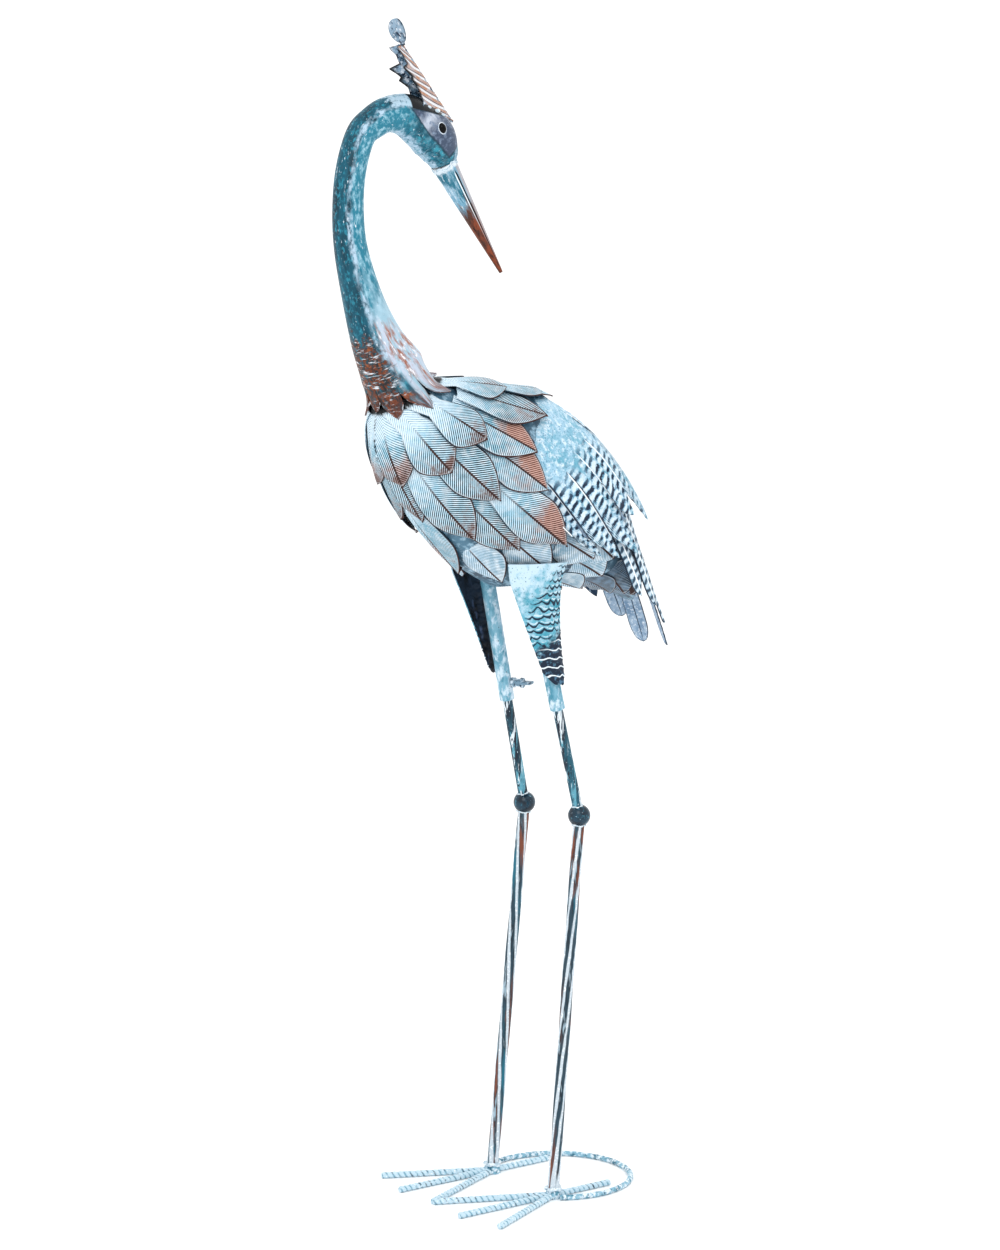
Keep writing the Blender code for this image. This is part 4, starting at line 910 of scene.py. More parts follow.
def arc(centre, radius, start, stop, steps):
    """Points of an arc in a turned profile, as (radius, height); angles in degrees from level."""
    angles = np.radians(np.linspace(start, stop, steps))
    return [(max(centre[0] + radius * math.cos(angle), 0.0), centre[1] + radius * math.sin(angle))
            for angle in angles]


def place_along(shape, start, end):
    """Moves a shape turned round Z so that its foot is at start and it points to end; its Y axis stays
    level."""
    aim = (end - start).normalized()
    level = Vector((0.0, 1.0, 0.0)) if abs(aim.y) < 0.9 else Vector((-1.0, 0.0, 0.0))
    level = (level - aim * level.dot(aim)).normalized()
    turn = Matrix((level.cross(aim), level, aim)).transposed().to_4x4()
    bmesh.ops.transform(shape, matrix=Matrix.Translation(start) @ turn, verts=shape.verts)
    return shape


# Black glass, polished: one sharp highlight
glass = Paint("black_glass_bead", "#050507", 0.08, 0.2)
# Pale enamel, thick and worn, that sets the bead off from the dark mask
EYE_RING_PAINT = brushed_paint("pale_ring_enamel", "#B4C2D2", [("#E4EBF1", 2.0, 0.45, 0.6)])

eye = turned([(0.0, -EYE_RADIUS)] + arc((0.0, 0.0), EYE_RADIUS, -80, 80, 17) + [(0.0, EYE_RADIUS)], 32)
ring = turned(arc((EYE_RADIUS - 0.0001, 0.0), 0.0006, -180, 180, 13), 40)
place_along(ring, Vector((0.0, -0.0012, 0.0)), Vector((0.0, -1.0, 0.12)))
for shape in (eye, ring):
    bmesh.ops.scale(shape, vec=(0.84, 1.0, 1.08), verts=shape.verts)
    bmesh.ops.rotate(shape, cent=(0, 0, 0), matrix=Matrix.Rotation(math.radians(-18), 3, "Y"),
                     verts=shape.verts)
    bmesh.ops.translate(shape, vec=EYE_CENTRE, verts=shape.verts)
both_sides("eye_bead", eye, glass.material, "eye")
both_sides("eye_ring", ring, EYE_RING_PAINT)


# Bill
# Two tapered steel halves seamed along the sides and welded to the head with a wavy bead. Pale
# blue at the root, it wears to rusty brown at the tip.
BILL_ROOT = BREAST + Vector((0.0598, 0.0, 0.1916))
BILL_TIP = BILL_ROOT + Vector((0.0619, 0.0, -0.0947))
BILL_ROOT_RADIUS = 0.0115
BILL_TIP_RADIUS = 0.0017
BILL_LENGTH = (BILL_TIP - BILL_ROOT).length

# Blue-grey enamel that wears to rust at the tip, with a dark seam and a white line beside it
paint = Paint("worn_bill_enamel", "#79A7BE", 0.42)
paint.follow("straight")
along = paint.carried("along")
seam = paint.carried("seam")
paint.brush([("#B5CFDF", 5.0, 0.44, 0.62), ("#2E7388", 7.0, 0.50, 0.62),
             ("#E0E9F0", 1.6, 0.58, 0.68)], 0.22)
worn = paint.ragged(along, 5.0, 0.28, 0.22).rise(0.30, 0.46)
paint.coat("#55372D", worn)
paint.coat("#87452A", paint.patches(4.0, 0.42, 0.56, 0.22) * along.rise(0.36, 0.55))
paint.coat("#39221C", paint.patches(1.8, 0.56, 0.66, 0.22) * worn)
paint.coat("#A9A4A8", paint.carried("ridge") * along.rise(0.97, 0.75) * 0.85)
paint.coat("#EAF1F6", seam.rise(0.25, 0.60) * along.rise(0.75, 0.35))
paint.coat("#12181F", seam.rise(-0.25, -0.60))
paint.follow()
paint.coat("#D9E4EC", paint.ragged(along, 4.0, 0.03).rise(0.055, 0.035))
BILL_PAINT = paint.dried(1.6, 0.2)

bill = turned([(0.0, 0.0)] + [(1.0, part) for part in np.linspace(0.0, 1.0, 90)] + [(0.0, 1.0)], 96)
values = carried_values(bill, "along", "seam", "ridge")
straight_layer = bill.verts.layers.float_vector.new("straight")
for vertex in bill.verts:
    part = vertex.co.z
    angle = math.atan2(vertex.co.y, vertex.co.x)
    size = math.hypot(vertex.co.x, vertex.co.y)
    radius = BILL_ROOT_RADIUS + (BILL_TIP_RADIUS - BILL_ROOT_RADIUS) * part
    signed = math.degrees(abs(angle)) - 98.0
    radius *= size * (1.0 - 0.15 * max(1.0 - abs(signed) / 7.0, 0.0))
    shown = rise(part, 0.05, 0.12)
    vertex[values["along"]] = part
    vertex[values["ridge"]] = rise(signed, 6.0, 12.0)
    vertex[values["seam"]] = shown * (max(1.0 - abs(signed + 11.0) / 6.0, 0.0)
                                      - 1.6 * max(1.0 - abs(signed) / 6.5, 0.0))
    vertex.co = (radius * math.cos(angle), 0.93 * radius * math.sin(angle), part * BILL_LENGTH)
    vertex[straight_layer] = vertex.co
place_along(bill, BILL_ROOT, BILL_TIP)
finish_piece("bill_halves", bill, BILL_PAINT, ["bill"])

bill_weld = turned(arc((BILL_ROOT_RADIUS + 0.0002, 0.0), 0.0007, -180, 180, 11), 72)
for vertex in bill_weld.verts:
    angle = math.atan2(vertex.co.y, vertex.co.x)
    vertex.co.y *= 0.95
    vertex.co.z += 0.0020 * math.sin(5.0 * angle + 0.6) + 0.0004 * math.sin(13.0 * angle)
place_along(bill_weld, BILL_ROOT + (BILL_TIP - BILL_ROOT) * 0.012, BILL_TIP)
# Pale enamel over lumpy weld metal, with pale patches as painted highlights on the lumps and dark patches
# that darken the pits
WELD_PAINT = brushed_paint("weld_enamel_painted_highlights", "#B5CBD8", [
    ("#E6EEF3", 3.0, 0.42, 0.58), ("#3B5568", 2.0, 0.60, 0.70)])
finish_piece("bill_weld", bill_weld, WELD_PAINT)


# Crest
# A sheet folded along its front rib, fluted lengthwise and slit into fingers, with a round leaf at
# the top, tacked to the head with weld beads. Copper shows on the flutes and black at the tips.
CREST_FOOT = BILL_ROOT + Vector((0.0102, 0.0, 0.0368))
CREST_WAIST = BILL_ROOT + Vector((-0.0416, 0.0, 0.1007))
CREST_TOP = BILL_ROOT + Vector((-0.0498, 0.0, 0.1232))
CREST_WAIST_SHARE = 0.74
CREST_SHEET = 0.0010
# Share of the rib's length, then how far the sheet's edge lies behind the rib and out to the side
CREST_FRINGE = ((0.0, 0.0010, 0.0008), (0.10, 0.0190, 0.0082), (0.19, 0.0320, 0.0140),
                (0.25, 0.0262, 0.0108), (0.32, 0.0225, 0.0085), (0.44, 0.0195, 0.0075),
                (0.53, 0.0228, 0.0105), (0.58, 0.0192, 0.0088), (0.69, 0.0238, 0.0115),
                (0.76, 0.0130, 0.0062), (0.86, 0.0115, 0.0055), (0.97, 0.0128, 0.0064),
                (1.0, 0.0030, 0.0015))


def crest_paint(name, flute_share):
    """Mottled blue-grey enamel with pale ridges, copper between them where the side is fluted, and
    blackened tips."""
    paint = Paint(name, "#8DA6BA")
    paint.brush([("#33566E", 8.0, 0.46, 0.58), ("#D3DCE6", 4.0, 0.50, 0.60), ("#1B2A42", 4.5, 0.54, 0.61)])
    flute = paint.carried("flute")
    shown = paint.carried("fluted") * flute_share
    paint.coat("#B9A7A4", shown * 0.9)
    paint.coat("#B38468", shown * flute.rise(0.10, 0.75) * paint.patches(7.0, 0.40, 0.56))
    paint.coat("#E3E6EA", shown * flute.rise(-0.30, -0.75))
    paint.coat("#3B3A44", shown * abs(flute + 0.05).rise(0.30, 0.10))
    paint.coat("#10141A", paint.carried("tip"))
    return paint.dried()


CREST_PAINT = crest_paint("fluted_crest_enamel", 1.0)
CREST_BACK_PAINT = crest_paint("mottled_crest_back_enamel", 0.0)
crest = bmesh.new()
values = carried_values(crest, "flute", "fluted", "tip")
bmesh.ops.create_grid(crest, x_segments=24, y_segments=200, size=0.5)
fringe_places, fringe_backs, fringe_sides = zip(*CREST_FRINGE)
for vertex in crest.verts:
    out = vertex.co.x + 0.5
    v = vertex.co.y + 0.5
    if v <= CREST_WAIST_SHARE:
        part = v / CREST_WAIST_SHARE
        rib = CREST_FOOT.lerp(CREST_WAIST, part)
        back = float(np.interp(part, fringe_places, fringe_backs)) * out
        side = float(np.interp(part, fringe_places, fringe_sides)) * out ** 1.2
        flute = math.sin(2.0 * math.pi * (out * 1.3 - part * 8.0))
        raised = rise(out, 0.0, 0.25) * rise(out, 1.0, 0.8)
        vertex.co = rib + Vector((-back, -0.0002 - side - 0.0007 * flute * raised, 0.0003 * flute * raised))
        vertex[values["flute"]] = flute
        vertex[values["fluted"]] = rise(back, 0.0260, 0.0215)
        vertex[values["tip"]] = max(rise(back, 0.0110, 0.0150) * rise(out, 0.78, 0.94) * rise(
            part, 0.40, 0.46), rise(out, 0.95, 0.99) * 0.8)
    else:
        part = (v - CREST_WAIST_SHARE) / (1.0 - CREST_WAIST_SHARE)
        rib = CREST_WAIST.lerp(CREST_TOP, part)
        round_part = 2.0 * rise(part, 0.08, 1.0) - 1.0
        width = max(0.0118 * math.sqrt(max(1.0 - round_part * round_part, 0.0)), 0.0032 * rise(
            part, 0.5, 0.0)) * out
        vertex.co = rib + Vector((-width * 0.2, -0.0002 - width * 0.97, 0.0))
        vertex[values["tip"]] = rise(out, 0.90, 0.98) * 0.5
    if out < 0.001:
        vertex.co.y = 0.0
bmesh.ops.remove_doubles(crest, verts=crest.verts, dist=0.00002)
bmesh.ops.mirror(crest, geom=crest.verts[:] + crest.edges[:] + crest.faces[:], axis="Y",
                 merge_dist=0.00002)
bmesh.ops.recalc_face_normals(crest, faces=crest.faces)
finish_piece("crest_sheet", crest, CREST_PAINT, ["crest"], CREST_SHEET,
             CREST_BACK_PAINT)

# Beads of weld where the sheet's foot meets the head: place from the breast and size, left side
CREST_WELDS = ((0.0370, -0.0105, 0.2392, 0.0019), (0.0455, -0.0112, 0.2365, 0.0021),
               (0.0520, -0.0100, 0.2330, 0.0016))
for count, (x, y, z, size) in enumerate(CREST_WELDS, 1):
    bead = turned([(0.0, -1.0)] + arc((0.0, 0.0), 1.0, -75, 75, 9) + [(0.0, 1.0)], 16)
    bmesh.ops.scale(bead, vec=(1.3 * size, size, 0.9 * size), verts=bead.verts)
    bmesh.ops.translate(bead, vec=BREAST + Vector((x, y, z)), verts=bead.verts)
    both_sides("crest_weld_%d" % count, bead, WELD_PAINT)


# Leg sockets and clamp screws
# A tube comes down out of the body for each leg, and a wing screw with a round head clamps the
# leg in it from the inner side.
KNEE = Vector((STAND_SHIFT + 0.0326, -0.0419, 0.3511))
LEG_TOP = Vector((STAND_SHIFT - 0.0165, -0.0345, 0.5700))
UP_LEG = (LEG_TOP - KNEE).normalized()
SOCKET_END = 0.45
SOCKET_TOP = 0.585
SOCKET_RADIUS = 0.0068
UPPER_LEG_RADIUS = 0.0046
SCREW_Z = 0.4665
SCREW_ANGLE = math.radians(53)
SCREW_RADIUS = 0.0047
SCREW_BODY = 0.0125
SCREW_WING = 0.0085


def leg_point(height):
    """Point on the left upper leg's centre line at a height."""
    return KNEE + UP_LEG * ((height - KNEE.z) / UP_LEG.z)


# Powder blue enamel with longish brush marks down the tube
SOCKET_PAINT = brushed_paint("mottled_socket_enamel", "#7FB0C4", [
    ("#4A8CA3", 9.0, 0.45, 0.62, 0.4), ("#C9DCE8", 5.0, 0.48, 0.62, 0.5), ("#274257", 2.5, 0.64, 0.72)])
# Steel blue enamel, chipped down to dark metal where fingers turn the screw
SCREW_PAINT = brushed_paint("worn_screw_enamel", "#7896AA", [
    ("#C9D8E3", 4.0, 0.48, 0.60), ("#2B4558", 3.0, 0.50, 0.60)])

length = (leg_point(SOCKET_TOP) - leg_point(SOCKET_END)).length
socket = turned([(0.0, 0.0035), (UPPER_LEG_RADIUS + 0.0002, 0.0035), (UPPER_LEG_RADIUS + 0.0004, 0.0006),
                 (UPPER_LEG_RADIUS + 0.0009, 0.0)]
                + arc((SOCKET_RADIUS - 0.0008, 0.0008), 0.0008, -90, 0, 5)
                + [(SOCKET_RADIUS, part) for part in np.linspace(0.004, length, 30)]
                + [(0.0, length)], 32)
place_along(socket, leg_point(SOCKET_END), leg_point(SOCKET_TOP))
both_sides("socket_tube", socket, SOCKET_PAINT, "leg_socket")

aim = Vector((math.cos(SCREW_ANGLE), math.sin(SCREW_ANGLE), 0.0))
screw_start = leg_point(SCREW_Z) + aim * (SOCKET_RADIUS - 0.0002)
screw = turned([(0.0, 0.0)] + arc((SCREW_RADIUS - 0.0006, 0.0008), 0.0006, -90, 0, 4)
               + [(SCREW_RADIUS, 0.004), (SCREW_RADIUS * 0.78, 0.0046), (SCREW_RADIUS * 0.78, 0.0088),
                  (SCREW_RADIUS, 0.0094)]
               + arc((SCREW_RADIUS - 0.0008, SCREW_BODY - 0.0008), 0.0008, 0, 90, 4)
               + [(0.0, SCREW_BODY)], 28)
place_along(screw, screw_start, screw_start + aim)
both_sides("screw_head", screw, SCREW_PAINT, "clamp_screw")
blade = bmesh.new()
bmesh.ops.create_cube(blade, size=1.0)
bmesh.ops.scale(blade, vec=(0.0028, 0.013, SCREW_WING), verts=blade.verts)
bmesh.ops.bevel(blade, geom=blade.edges[:], offset=0.0011, offset_type="OFFSET", segments=3,
                profile=0.5, affect="EDGES", material=-1)
bmesh.ops.translate(blade, vec=(0.0, 0.0, 0.5 * SCREW_WING + SCREW_BODY - 0.001), verts=blade.verts)
place_along(blade, screw_start, screw_start + aim)
both_sides("screw_wing", blade, SCREW_PAINT)


# Upper legs
# Straight steel rods in brushed teal that stand on the knee balls and run up into the sockets.
# Teal enamel wiped off in long streaks, so that navy and bare pale steel alternate along the rod
ROD_PAINT = brushed_paint("streaked_teal_enamel", "#1B596C", [
    ("#102334", 6.0, 0.44, 0.54, 0.04), ("#5E9DB0", 5.0, 0.54, 0.60, 0.05),
    ("#DAE4EB", 4.0, 0.55, 0.59, 0.03), ("#0F1C2A", 2.0, 0.58, 0.62, 0.15),
    ("#C4D6E2", 1.6, 0.62, 0.67, 0.6)])
KNEE_RADIUS = 0.01025
upper_start = KNEE + UP_LEG * (KNEE_RADIUS * 0.85)
length = (leg_point(SOCKET_END + 0.03) - upper_start).length
upper = turned([(0.0, 0.0), (UPPER_LEG_RADIUS - 0.0005, 0.0)]
               + [(UPPER_LEG_RADIUS, part) for part in np.linspace(0.0006, length, 40)]
               + [(0.0, length)], 28)
place_along(upper, upper_start, leg_point(SOCKET_END + 0.03))
both_sides("upper_rod", upper, ROD_PAINT, "upper_leg")


# Knee balls
# Cast steel balls in dark enamel, welded between the rods with a rough bead above and below.
HALF_STANCE = 0.0475
ANKLE = Vector((STAND_SHIFT, -HALF_STANCE, 0.0080))
DOWN_LEG = (ANKLE - KNEE).normalized()
LOWER_LEG_RADIUS = 0.0056
# Dark teal gloss enamel with worn specks: glossier than the rods, so the ball shines
KNEE_PAINT = brushed_paint("dark_knee_enamel", "#173D50", [
    ("#0D2231", 9.0, 0.42, 0.58), ("#3E7C90", 5.0, 0.58, 0.68), ("#BFD2DE", 2.5, 0.64, 0.70)],
    roughness=0.22, depth_mm=0.1)


def weld_bead(radius, thickness, lumps, seed):
    """A lumpy ring of weld metal round a rod."""
    bead = turned(arc((radius, 0.0), thickness, -180, 180, 11), 48)
    for vertex in bead.verts:
        angle = math.atan2(vertex.co.y, vertex.co.x)
        swell = 1.0 + 0.10 * math.sin(lumps * angle + seed) + 0.05 * math.sin(2.6 * lumps * angle)
        vertex.co.x *= swell
        vertex.co.y *= swell
        vertex.co.z = vertex.co.z * swell + 0.0005 * math.sin(3.0 * angle + seed)
    return bead


ball = turned([(0.0, -KNEE_RADIUS)] + arc((0.0, 0.0), KNEE_RADIUS, -84, 84, 29)
              + [(0.0, KNEE_RADIUS)], 40)
bmesh.ops.translate(ball, vec=KNEE, verts=ball.verts)
both_sides("knee", ball, KNEE_PAINT, "knee_ball")
for name, direction, radius in (("upper", UP_LEG, UPPER_LEG_RADIUS), ("lower", DOWN_LEG, LOWER_LEG_RADIUS)):
    bead = weld_bead(radius + 0.0001, 0.0008, 7, radius * 900.0)
    place_along(bead, KNEE + direction * (KNEE_RADIUS - 0.0012), KNEE + direction * 2.0)
    both_sides("knee_weld_" + name, bead, WELD_PAINT)


# Lower legs
# Ribbed steel rods with a slow twist, welded to the feet. The ridges are rubbed pale, and dark teal
# and rust stay in the grooves.
LOWER_RIBS = 5
LOWER_TWIST = math.radians(250)


def ribbed_paint(name, groove, ridge, coats, start, stop, along=1.0):
    """Paint that is pale on the ridges and dark in the grooves; the coats are brushed over the dark."""
    paint = Paint(name, groove, 0.4, 0.4)
    paint.brush(coats, along)
    rib = paint.ragged(paint.carried("rib"), 3.0, 0.55, along)
    paint.coat(ridge, rib.rise(start, stop))
    paint.coat("#F1F5F8", rib.rise(0.6, 0.9) * paint.patches(2.0, 0.55, 0.63))
    return paint.dried(1.6, 0.15)


# Enamel rubbed off the ridges to pale steel; the twist shows as slow dark and light bands
LOWER_PAINT = ribbed_paint("twisted_rod_enamel", "#2C4654", "#C3CFD8", [
    ("#1F6A7E", 14.0, 0.48, 0.60), ("#7B4836", 16.0, 0.50, 0.60), ("#121C26", 5.0, 0.48, 0.58),
    ("#9FB6C4", 5.0, 0.56, 0.64)], 0.52, 0.80, 0.12)
foot_top = ANKLE + Vector((0.0, 0.0, 0.0003))
leg_top = KNEE + DOWN_LEG * (KNEE_RADIUS * 0.86)
length = (leg_top - foot_top).length
lower = turned([(0.0, 0.0)] + [(1.0, part) for part in np.linspace(0.0, 1.0, 160)] + [(0.0, 1.0)], 60)
values = carried_values(lower, "rib")
for vertex in lower.verts:
    angle = math.atan2(vertex.co.y, vertex.co.x)
    size = math.hypot(vertex.co.x, vertex.co.y)
    rib = 0.5 + 0.5 * math.cos(LOWER_RIBS * (angle - LOWER_TWIST * vertex.co.z))
    vertex[values["rib"]] = rib + 0.45 * rise(vertex.co.z, 0.13, 0.02)
    radius = LOWER_LEG_RADIUS * size * (1.0 - 0.16 * (1.0 - rib ** 0.7))
    vertex.co = (radius * math.cos(angle), radius * math.sin(angle), vertex.co.z * length)
place_along(lower, foot_top, leg_top)
both_sides("lower_rod", lower, LOWER_PAINT, "lower_leg")


# Feet
# Each foot is three ribbed toes forward and one back, of steel bar welded under the leg.
TOE_RADIUS = 0.0031
BAR_RIB_STEP = 0.0055
INNER_TOE_ANGLE = 25
BOSS_RADIUS = 0.0072
# Powder blue enamel with dark specks on the smooth parts, and nearly white ribs on the toes
FOOT_PAINT = brushed_paint("mottled_foot_enamel", "#86B4C8", [
    ("#2F6F86", 7.0, 0.48, 0.60), ("#DCE8F0", 4.0, 0.47, 0.58), ("#1C3144", 2.2, 0.60, 0.68)])
TOE_PAINT = ribbed_paint("ribbed_bar_enamel", "#7FA9BC", "#BFD8E5", [
    ("#22394B", 12.0, 0.50, 0.60), ("#D5E3EC", 5.0, 0.52, 0.62)], 0.05, 0.35)


def ribbed_bar(length):
    """A length of ribbed steel bar along Z, with rounded ends."""
    rings = max(int(length / 0.0008), 8)
    bar = turned([(0.0, 0.0), (0.7, 0.0)]
                 + [(1.0, part) for part in np.linspace(0.0008, length - 0.0008, rings)]
                 + [(0.7, length), (0.0, length)], 20)
    ribs = bar.verts.layers.float.new("rib")
    for vertex in bar.verts:
        angle = math.atan2(vertex.co.y, vertex.co.x)
        rib = 0.5 + 0.5 * math.cos(2.0 * math.pi * vertex.co.z / BAR_RIB_STEP + 1.6 * abs(angle))
        vertex[ribs] = rib
        vertex.co.x *= TOE_RADIUS * (0.84 + 0.16 * rib)
        vertex.co.y *= TOE_RADIUS * (0.84 + 0.16 * rib)
    return bar


middle = Vector((STAND_SHIFT, -HALF_STANCE, TOE_RADIUS * 0.924))
inner_reach = HALF_STANCE / math.sin(math.radians(INNER_TOE_ANGLE)) - 0.0005
toes = ((0.1054, 206.0), (0.1060, 180.0), (inner_reach, 180.0 - INNER_TOE_ANGLE), (0.065, 0.0))
for count, (length, degrees) in enumerate(toes):
    toe = ribbed_bar(length)
    end = middle + Vector((math.cos(math.radians(degrees)), math.sin(math.radians(degrees)), 0.0))
    place_along(toe, middle, end)
    for vertex in toe.verts:
        vertex.co.z = max(vertex.co.z, 0.0)
        vertex.co.y = min(vertex.co.y, -0.0001)
    both_sides("toe_%d" % (count + 1), toe, TOE_PAINT, None if count else "foot")
boss = turned([(0.0, 0.0), (BOSS_RADIUS, 0.0), (0.0074, 0.002), (0.0069, 0.0062), (0.0060, 0.0078),
               (0.0, 0.0082)], 32)
bmesh.ops.translate(boss, vec=(STAND_SHIFT, -HALF_STANCE, 0.0), verts=boss.verts)
both_sides("foot_boss", boss, FOOT_PAINT)
bead = weld_bead(LOWER_LEG_RADIUS + 0.0006, 0.0018, 5, 1.0)
bmesh.ops.translate(bead, vec=(STAND_SHIFT, -HALF_STANCE, 0.0088), verts=bead.verts)
both_sides("foot_weld", bead, WELD_PAINT)


# Hoop
# One plain steel rod bent into a ring behind the feet; its ends are welded to both ankles.
HOOP_CENTRE = 0.039
HOOP_ROD_RADIUS = 0.0025
hoop_end = HALF_STANCE + BOSS_RADIUS + 0.0003 + HOOP_ROD_RADIUS
hoop_radius = math.hypot(HOOP_CENTRE, hoop_end)
hoop_start = math.atan2(hoop_end, -HOOP_CENTRE)
hoop = turned([(0.0, 0.0), (0.8, 0.0)] + [(1.0, part) for part in np.linspace(0.002, 0.998, 150)]
              + [(0.8, 1.0), (0.0, 1.0)], 20)
for vertex in hoop.verts:
    angle = hoop_start * (1.0 - 2.0 * vertex.co.z)
    reach = hoop_radius + vertex.co.x * HOOP_ROD_RADIUS
    vertex.co = (STAND_SHIFT + HOOP_CENTRE + reach * math.cos(angle), reach * math.sin(angle),
                 HOOP_ROD_RADIUS * (1.0 + vertex.co.y))
bmesh.ops.recalc_face_normals(hoop, faces=hoop.faces)
finish_piece("hoop_rod", hoop, FOOT_PAINT, ["hoop"])


# Thigh plates
# Half cones of sheet steel on the outer side of the upper legs, tucked under the belly leaves and
# riveted there. They are stamped with small scales, and dark bands cross the narrow end.
THIGH_TOP_Z = 0.586
THIGH_LOW_Z = 0.4745
THIGH_SHEET = 0.0010
# Half width behind and before the leg and bulge to the side, each at the low end and at the top
THIGH_BACK = (0.0106, 0.0297)
THIGH_FRONT = (0.0115, 0.0350)
THIGH_BULGE = (0.0106, 0.0170)


def thigh_bed(u, v):
    """Point of the left thigh plate before it was raised off the body, and the way out of it."""
    height = THIGH_LOW_Z + (THIGH_TOP_Z - THIGH_LOW_Z) * v
    centre = leg_point(min(height, 0.5699))
    low_reach, top_reach = THIGH_FRONT if u < 0.0 else THIGH_BACK
    reach = low_reach + (top_reach - low_reach) * v
    widest = 62.0 + 18.0 * v if u < 0.0 else 45.0
    bulge = THIGH_BULGE[0] + (THIGH_BULGE[1] - THIGH_BULGE[0]) * v
    angle = math.radians(widest * (0.25 + 0.75 * min(v / 0.10, 1.0) ** 0.6) * u)
    place = Vector((centre.x + reach * math.sin(angle), centre.y - bulge * math.cos(angle), height))
    return place, Vector((0.0, -1.0, 0.0))


# Teal and powder blue mottling with rows of small scales and dark bands at the narrow end
paint = Paint("scaled_thigh_enamel", "#6CAFC4", 0.45)
paint.brush([("#3A93A8", 18.0, 0.44, 0.62), ("#B9D5E4", 7.0, 0.48, 0.72)])
paint.coat("#C2DAE8", paint.ragged(paint.carried("top"), 9.0, 1.1).rise(0.35, 0.95))
paint.coat("#256076", paint.patches(1.6, 0.60, 0.70))
scale = paint.ragged(paint.carried("scale"), 3.0, 0.30)
paint.coat("#CDE0EA", scale.rise(-0.25, -0.65))
paint.coat("#143044", scale.rise(0.25, 0.50))
band = paint.ragged(paint.carried("band"), 6.0, 0.9).rise(0.40, 0.80)
paint.coat("#182A3E", band)
paint.coat("#4F7690", band * paint.patches(4.0, 0.54, 0.64))
paint.coat("#E3EDF3", paint.carried("pale_band").rise(0.50, 0.85))
THIGH_PAINT = paint.dried()
# Dark navy enamel with faint lilac streaks on the inner side, kept dark as painted shade because the light
# hardly reaches it
THIGH_BACK_PAINT = brushed_paint("navy_plate_back_painted_shade", "#22364B", [
    ("#0F1722", 14.0, 0.44, 0.56), ("#66789A", 9.0, 0.56, 0.70)], 0.3)

height = solid_height("thigh_plate_left", thigh_bed)
plate = bmesh.new()
values = carried_values(plate, "scale", "band", "pale_band", "top")
bmesh.ops.create_grid(plate, x_segments=64, y_segments=150, size=0.5)
for vertex in plate.verts:
    u = vertex.co.x * 2.0
    v = vertex.co.y + 0.5
    point, outward = thigh_bed(u, v)
    shift, drift = unevenly(point, 10.0)
    row = (1.0 - v) * 17.0 + 0.45 * shift
    column = u * (1.5 + 2.0 * v) + 0.5 * math.floor(row) + 0.30 * drift
    curve = 0.62 - 0.42 * (2.0 * abs((column % 1.0) - 0.5)) ** 2
    low = rise(v - 0.10 * u, 0.46, 0.30)
    amount = rise(v - 0.30 * u, 0.92, 0.70) * (1.0 - low)
    scale = max(1.0 - abs((row % 1.0) - curve) / 0.27, 0.0) - 0.8 * max(
        1.0 - abs((row % 1.0) - curve + 0.42) / 0.22, 0.0)
    wave = 0.007 * math.cos(2.0 * math.pi * (u * 1.1 + 0.3 * shift))
    band = math.cos(2.0 * math.pi * ((v + wave) / 0.072))
    vertex.co = point + outward * (height(u, v) - 0.0004 * scale * amount + 0.0005 * band * low)
    vertex[values["scale"]] = scale * amount
    vertex[values["band"]] = low
    vertex[values["pale_band"]] = low * rise(band, 0.60, 0.98) * rise(v, 0.015, 0.05)
    vertex[values["top"]] = rise(v - 0.10 * u, 0.62, 0.95)
both_sides("thigh_sheet", plate, THIGH_PAINT, "thigh_plate", THIGH_SHEET,
           THIGH_BACK_PAINT)

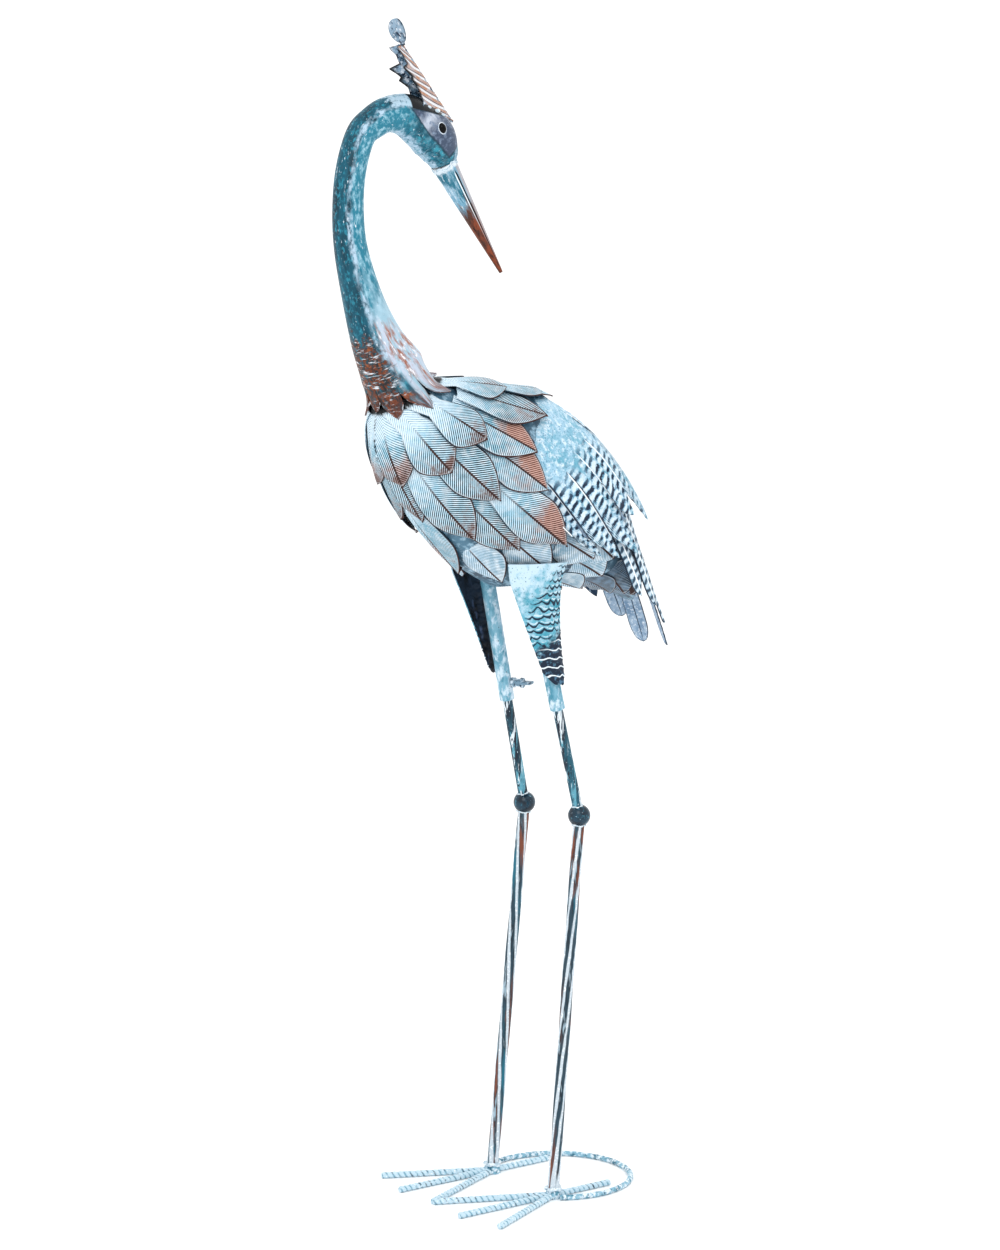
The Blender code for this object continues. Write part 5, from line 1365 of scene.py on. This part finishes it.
point, outward = thigh_bed(0.62, 0.90)
rivet = turned([(0.0, -0.001)] + arc((0.0, 0.0), 0.0022, -20, 80, 8) + [(0.0, 0.0022)], 20)
place_along(rivet, point + outward * (height(0.62, 0.90) + 0.0002), point + outward)
both_sides("thigh_rivet", rivet, SCREW_PAINT)


# Floor, light and camera
# A plain pale floor, broad soft lamps and the photograph's own viewpoint.
CAMERA_PLACE = Vector((STAND_SHIFT - 1.6641, -2.2548, 0.8744))
CAMERA_TURN = 0.6283
CAMERA_DIP = 0.1245
CAMERA_LENS = 89.64

floor_shape = bmesh.new()
bmesh.ops.create_grid(floor_shape, x_segments=1, y_segments=1, size=60.0)
floor_mesh = bpy.data.meshes.new("floor")
floor_shape.to_mesh(floor_mesh)
floor_shape.free()
floor = bpy.data.objects.new("floor", floor_mesh)
bpy.context.scene.collection.objects.link(floor)
floor_mesh.materials.append(Paint("pale_floor", "#FDFDFD", 0.9, 0.2).material)

world = bpy.data.worlds.new("studio")
bpy.context.scene.world = world
world.use_nodes = True
world.node_tree.nodes["Background"].inputs["Color"].default_value = linear("#FFFFFF")
world.node_tree.nodes["Background"].inputs["Strength"].default_value = 1.0


def add_lamp(name, place, aim, size, power):
    """A square soft lamp aimed at a point."""
    light = bpy.data.lights.new(name, "AREA")
    light.size = size
    light.energy = power
    lamp = bpy.data.objects.new(name, light)
    lamp.location = place
    lamp.rotation_euler = (Vector(aim) - Vector(place)).to_track_quat("-Z", "Y").to_euler()
    bpy.context.scene.collection.objects.link(lamp)


add_lamp("key", (-1.6, -1.6, 2.2), (0.0, 0.0, 0.6), 1.4, 12.0)
add_lamp("back", (1.6, 1.2, 1.8), (0.0, 0.0, 0.6), 1.4, 4.0)

camera_data = bpy.data.cameras.new("camera")
camera_data.lens = CAMERA_LENS
camera_data.sensor_width = 36.0
camera = bpy.data.objects.new("camera", camera_data)
camera.location = CAMERA_PLACE
camera.rotation_euler = (math.pi / 2 - CAMERA_DIP, 0.0, -CAMERA_TURN)
bpy.context.scene.collection.objects.link(camera)
bpy.context.scene.camera = camera
bpy.context.scene.view_settings.view_transform = "Standard"
bpy.context.scene.view_settings.look = "Medium High Contrast"
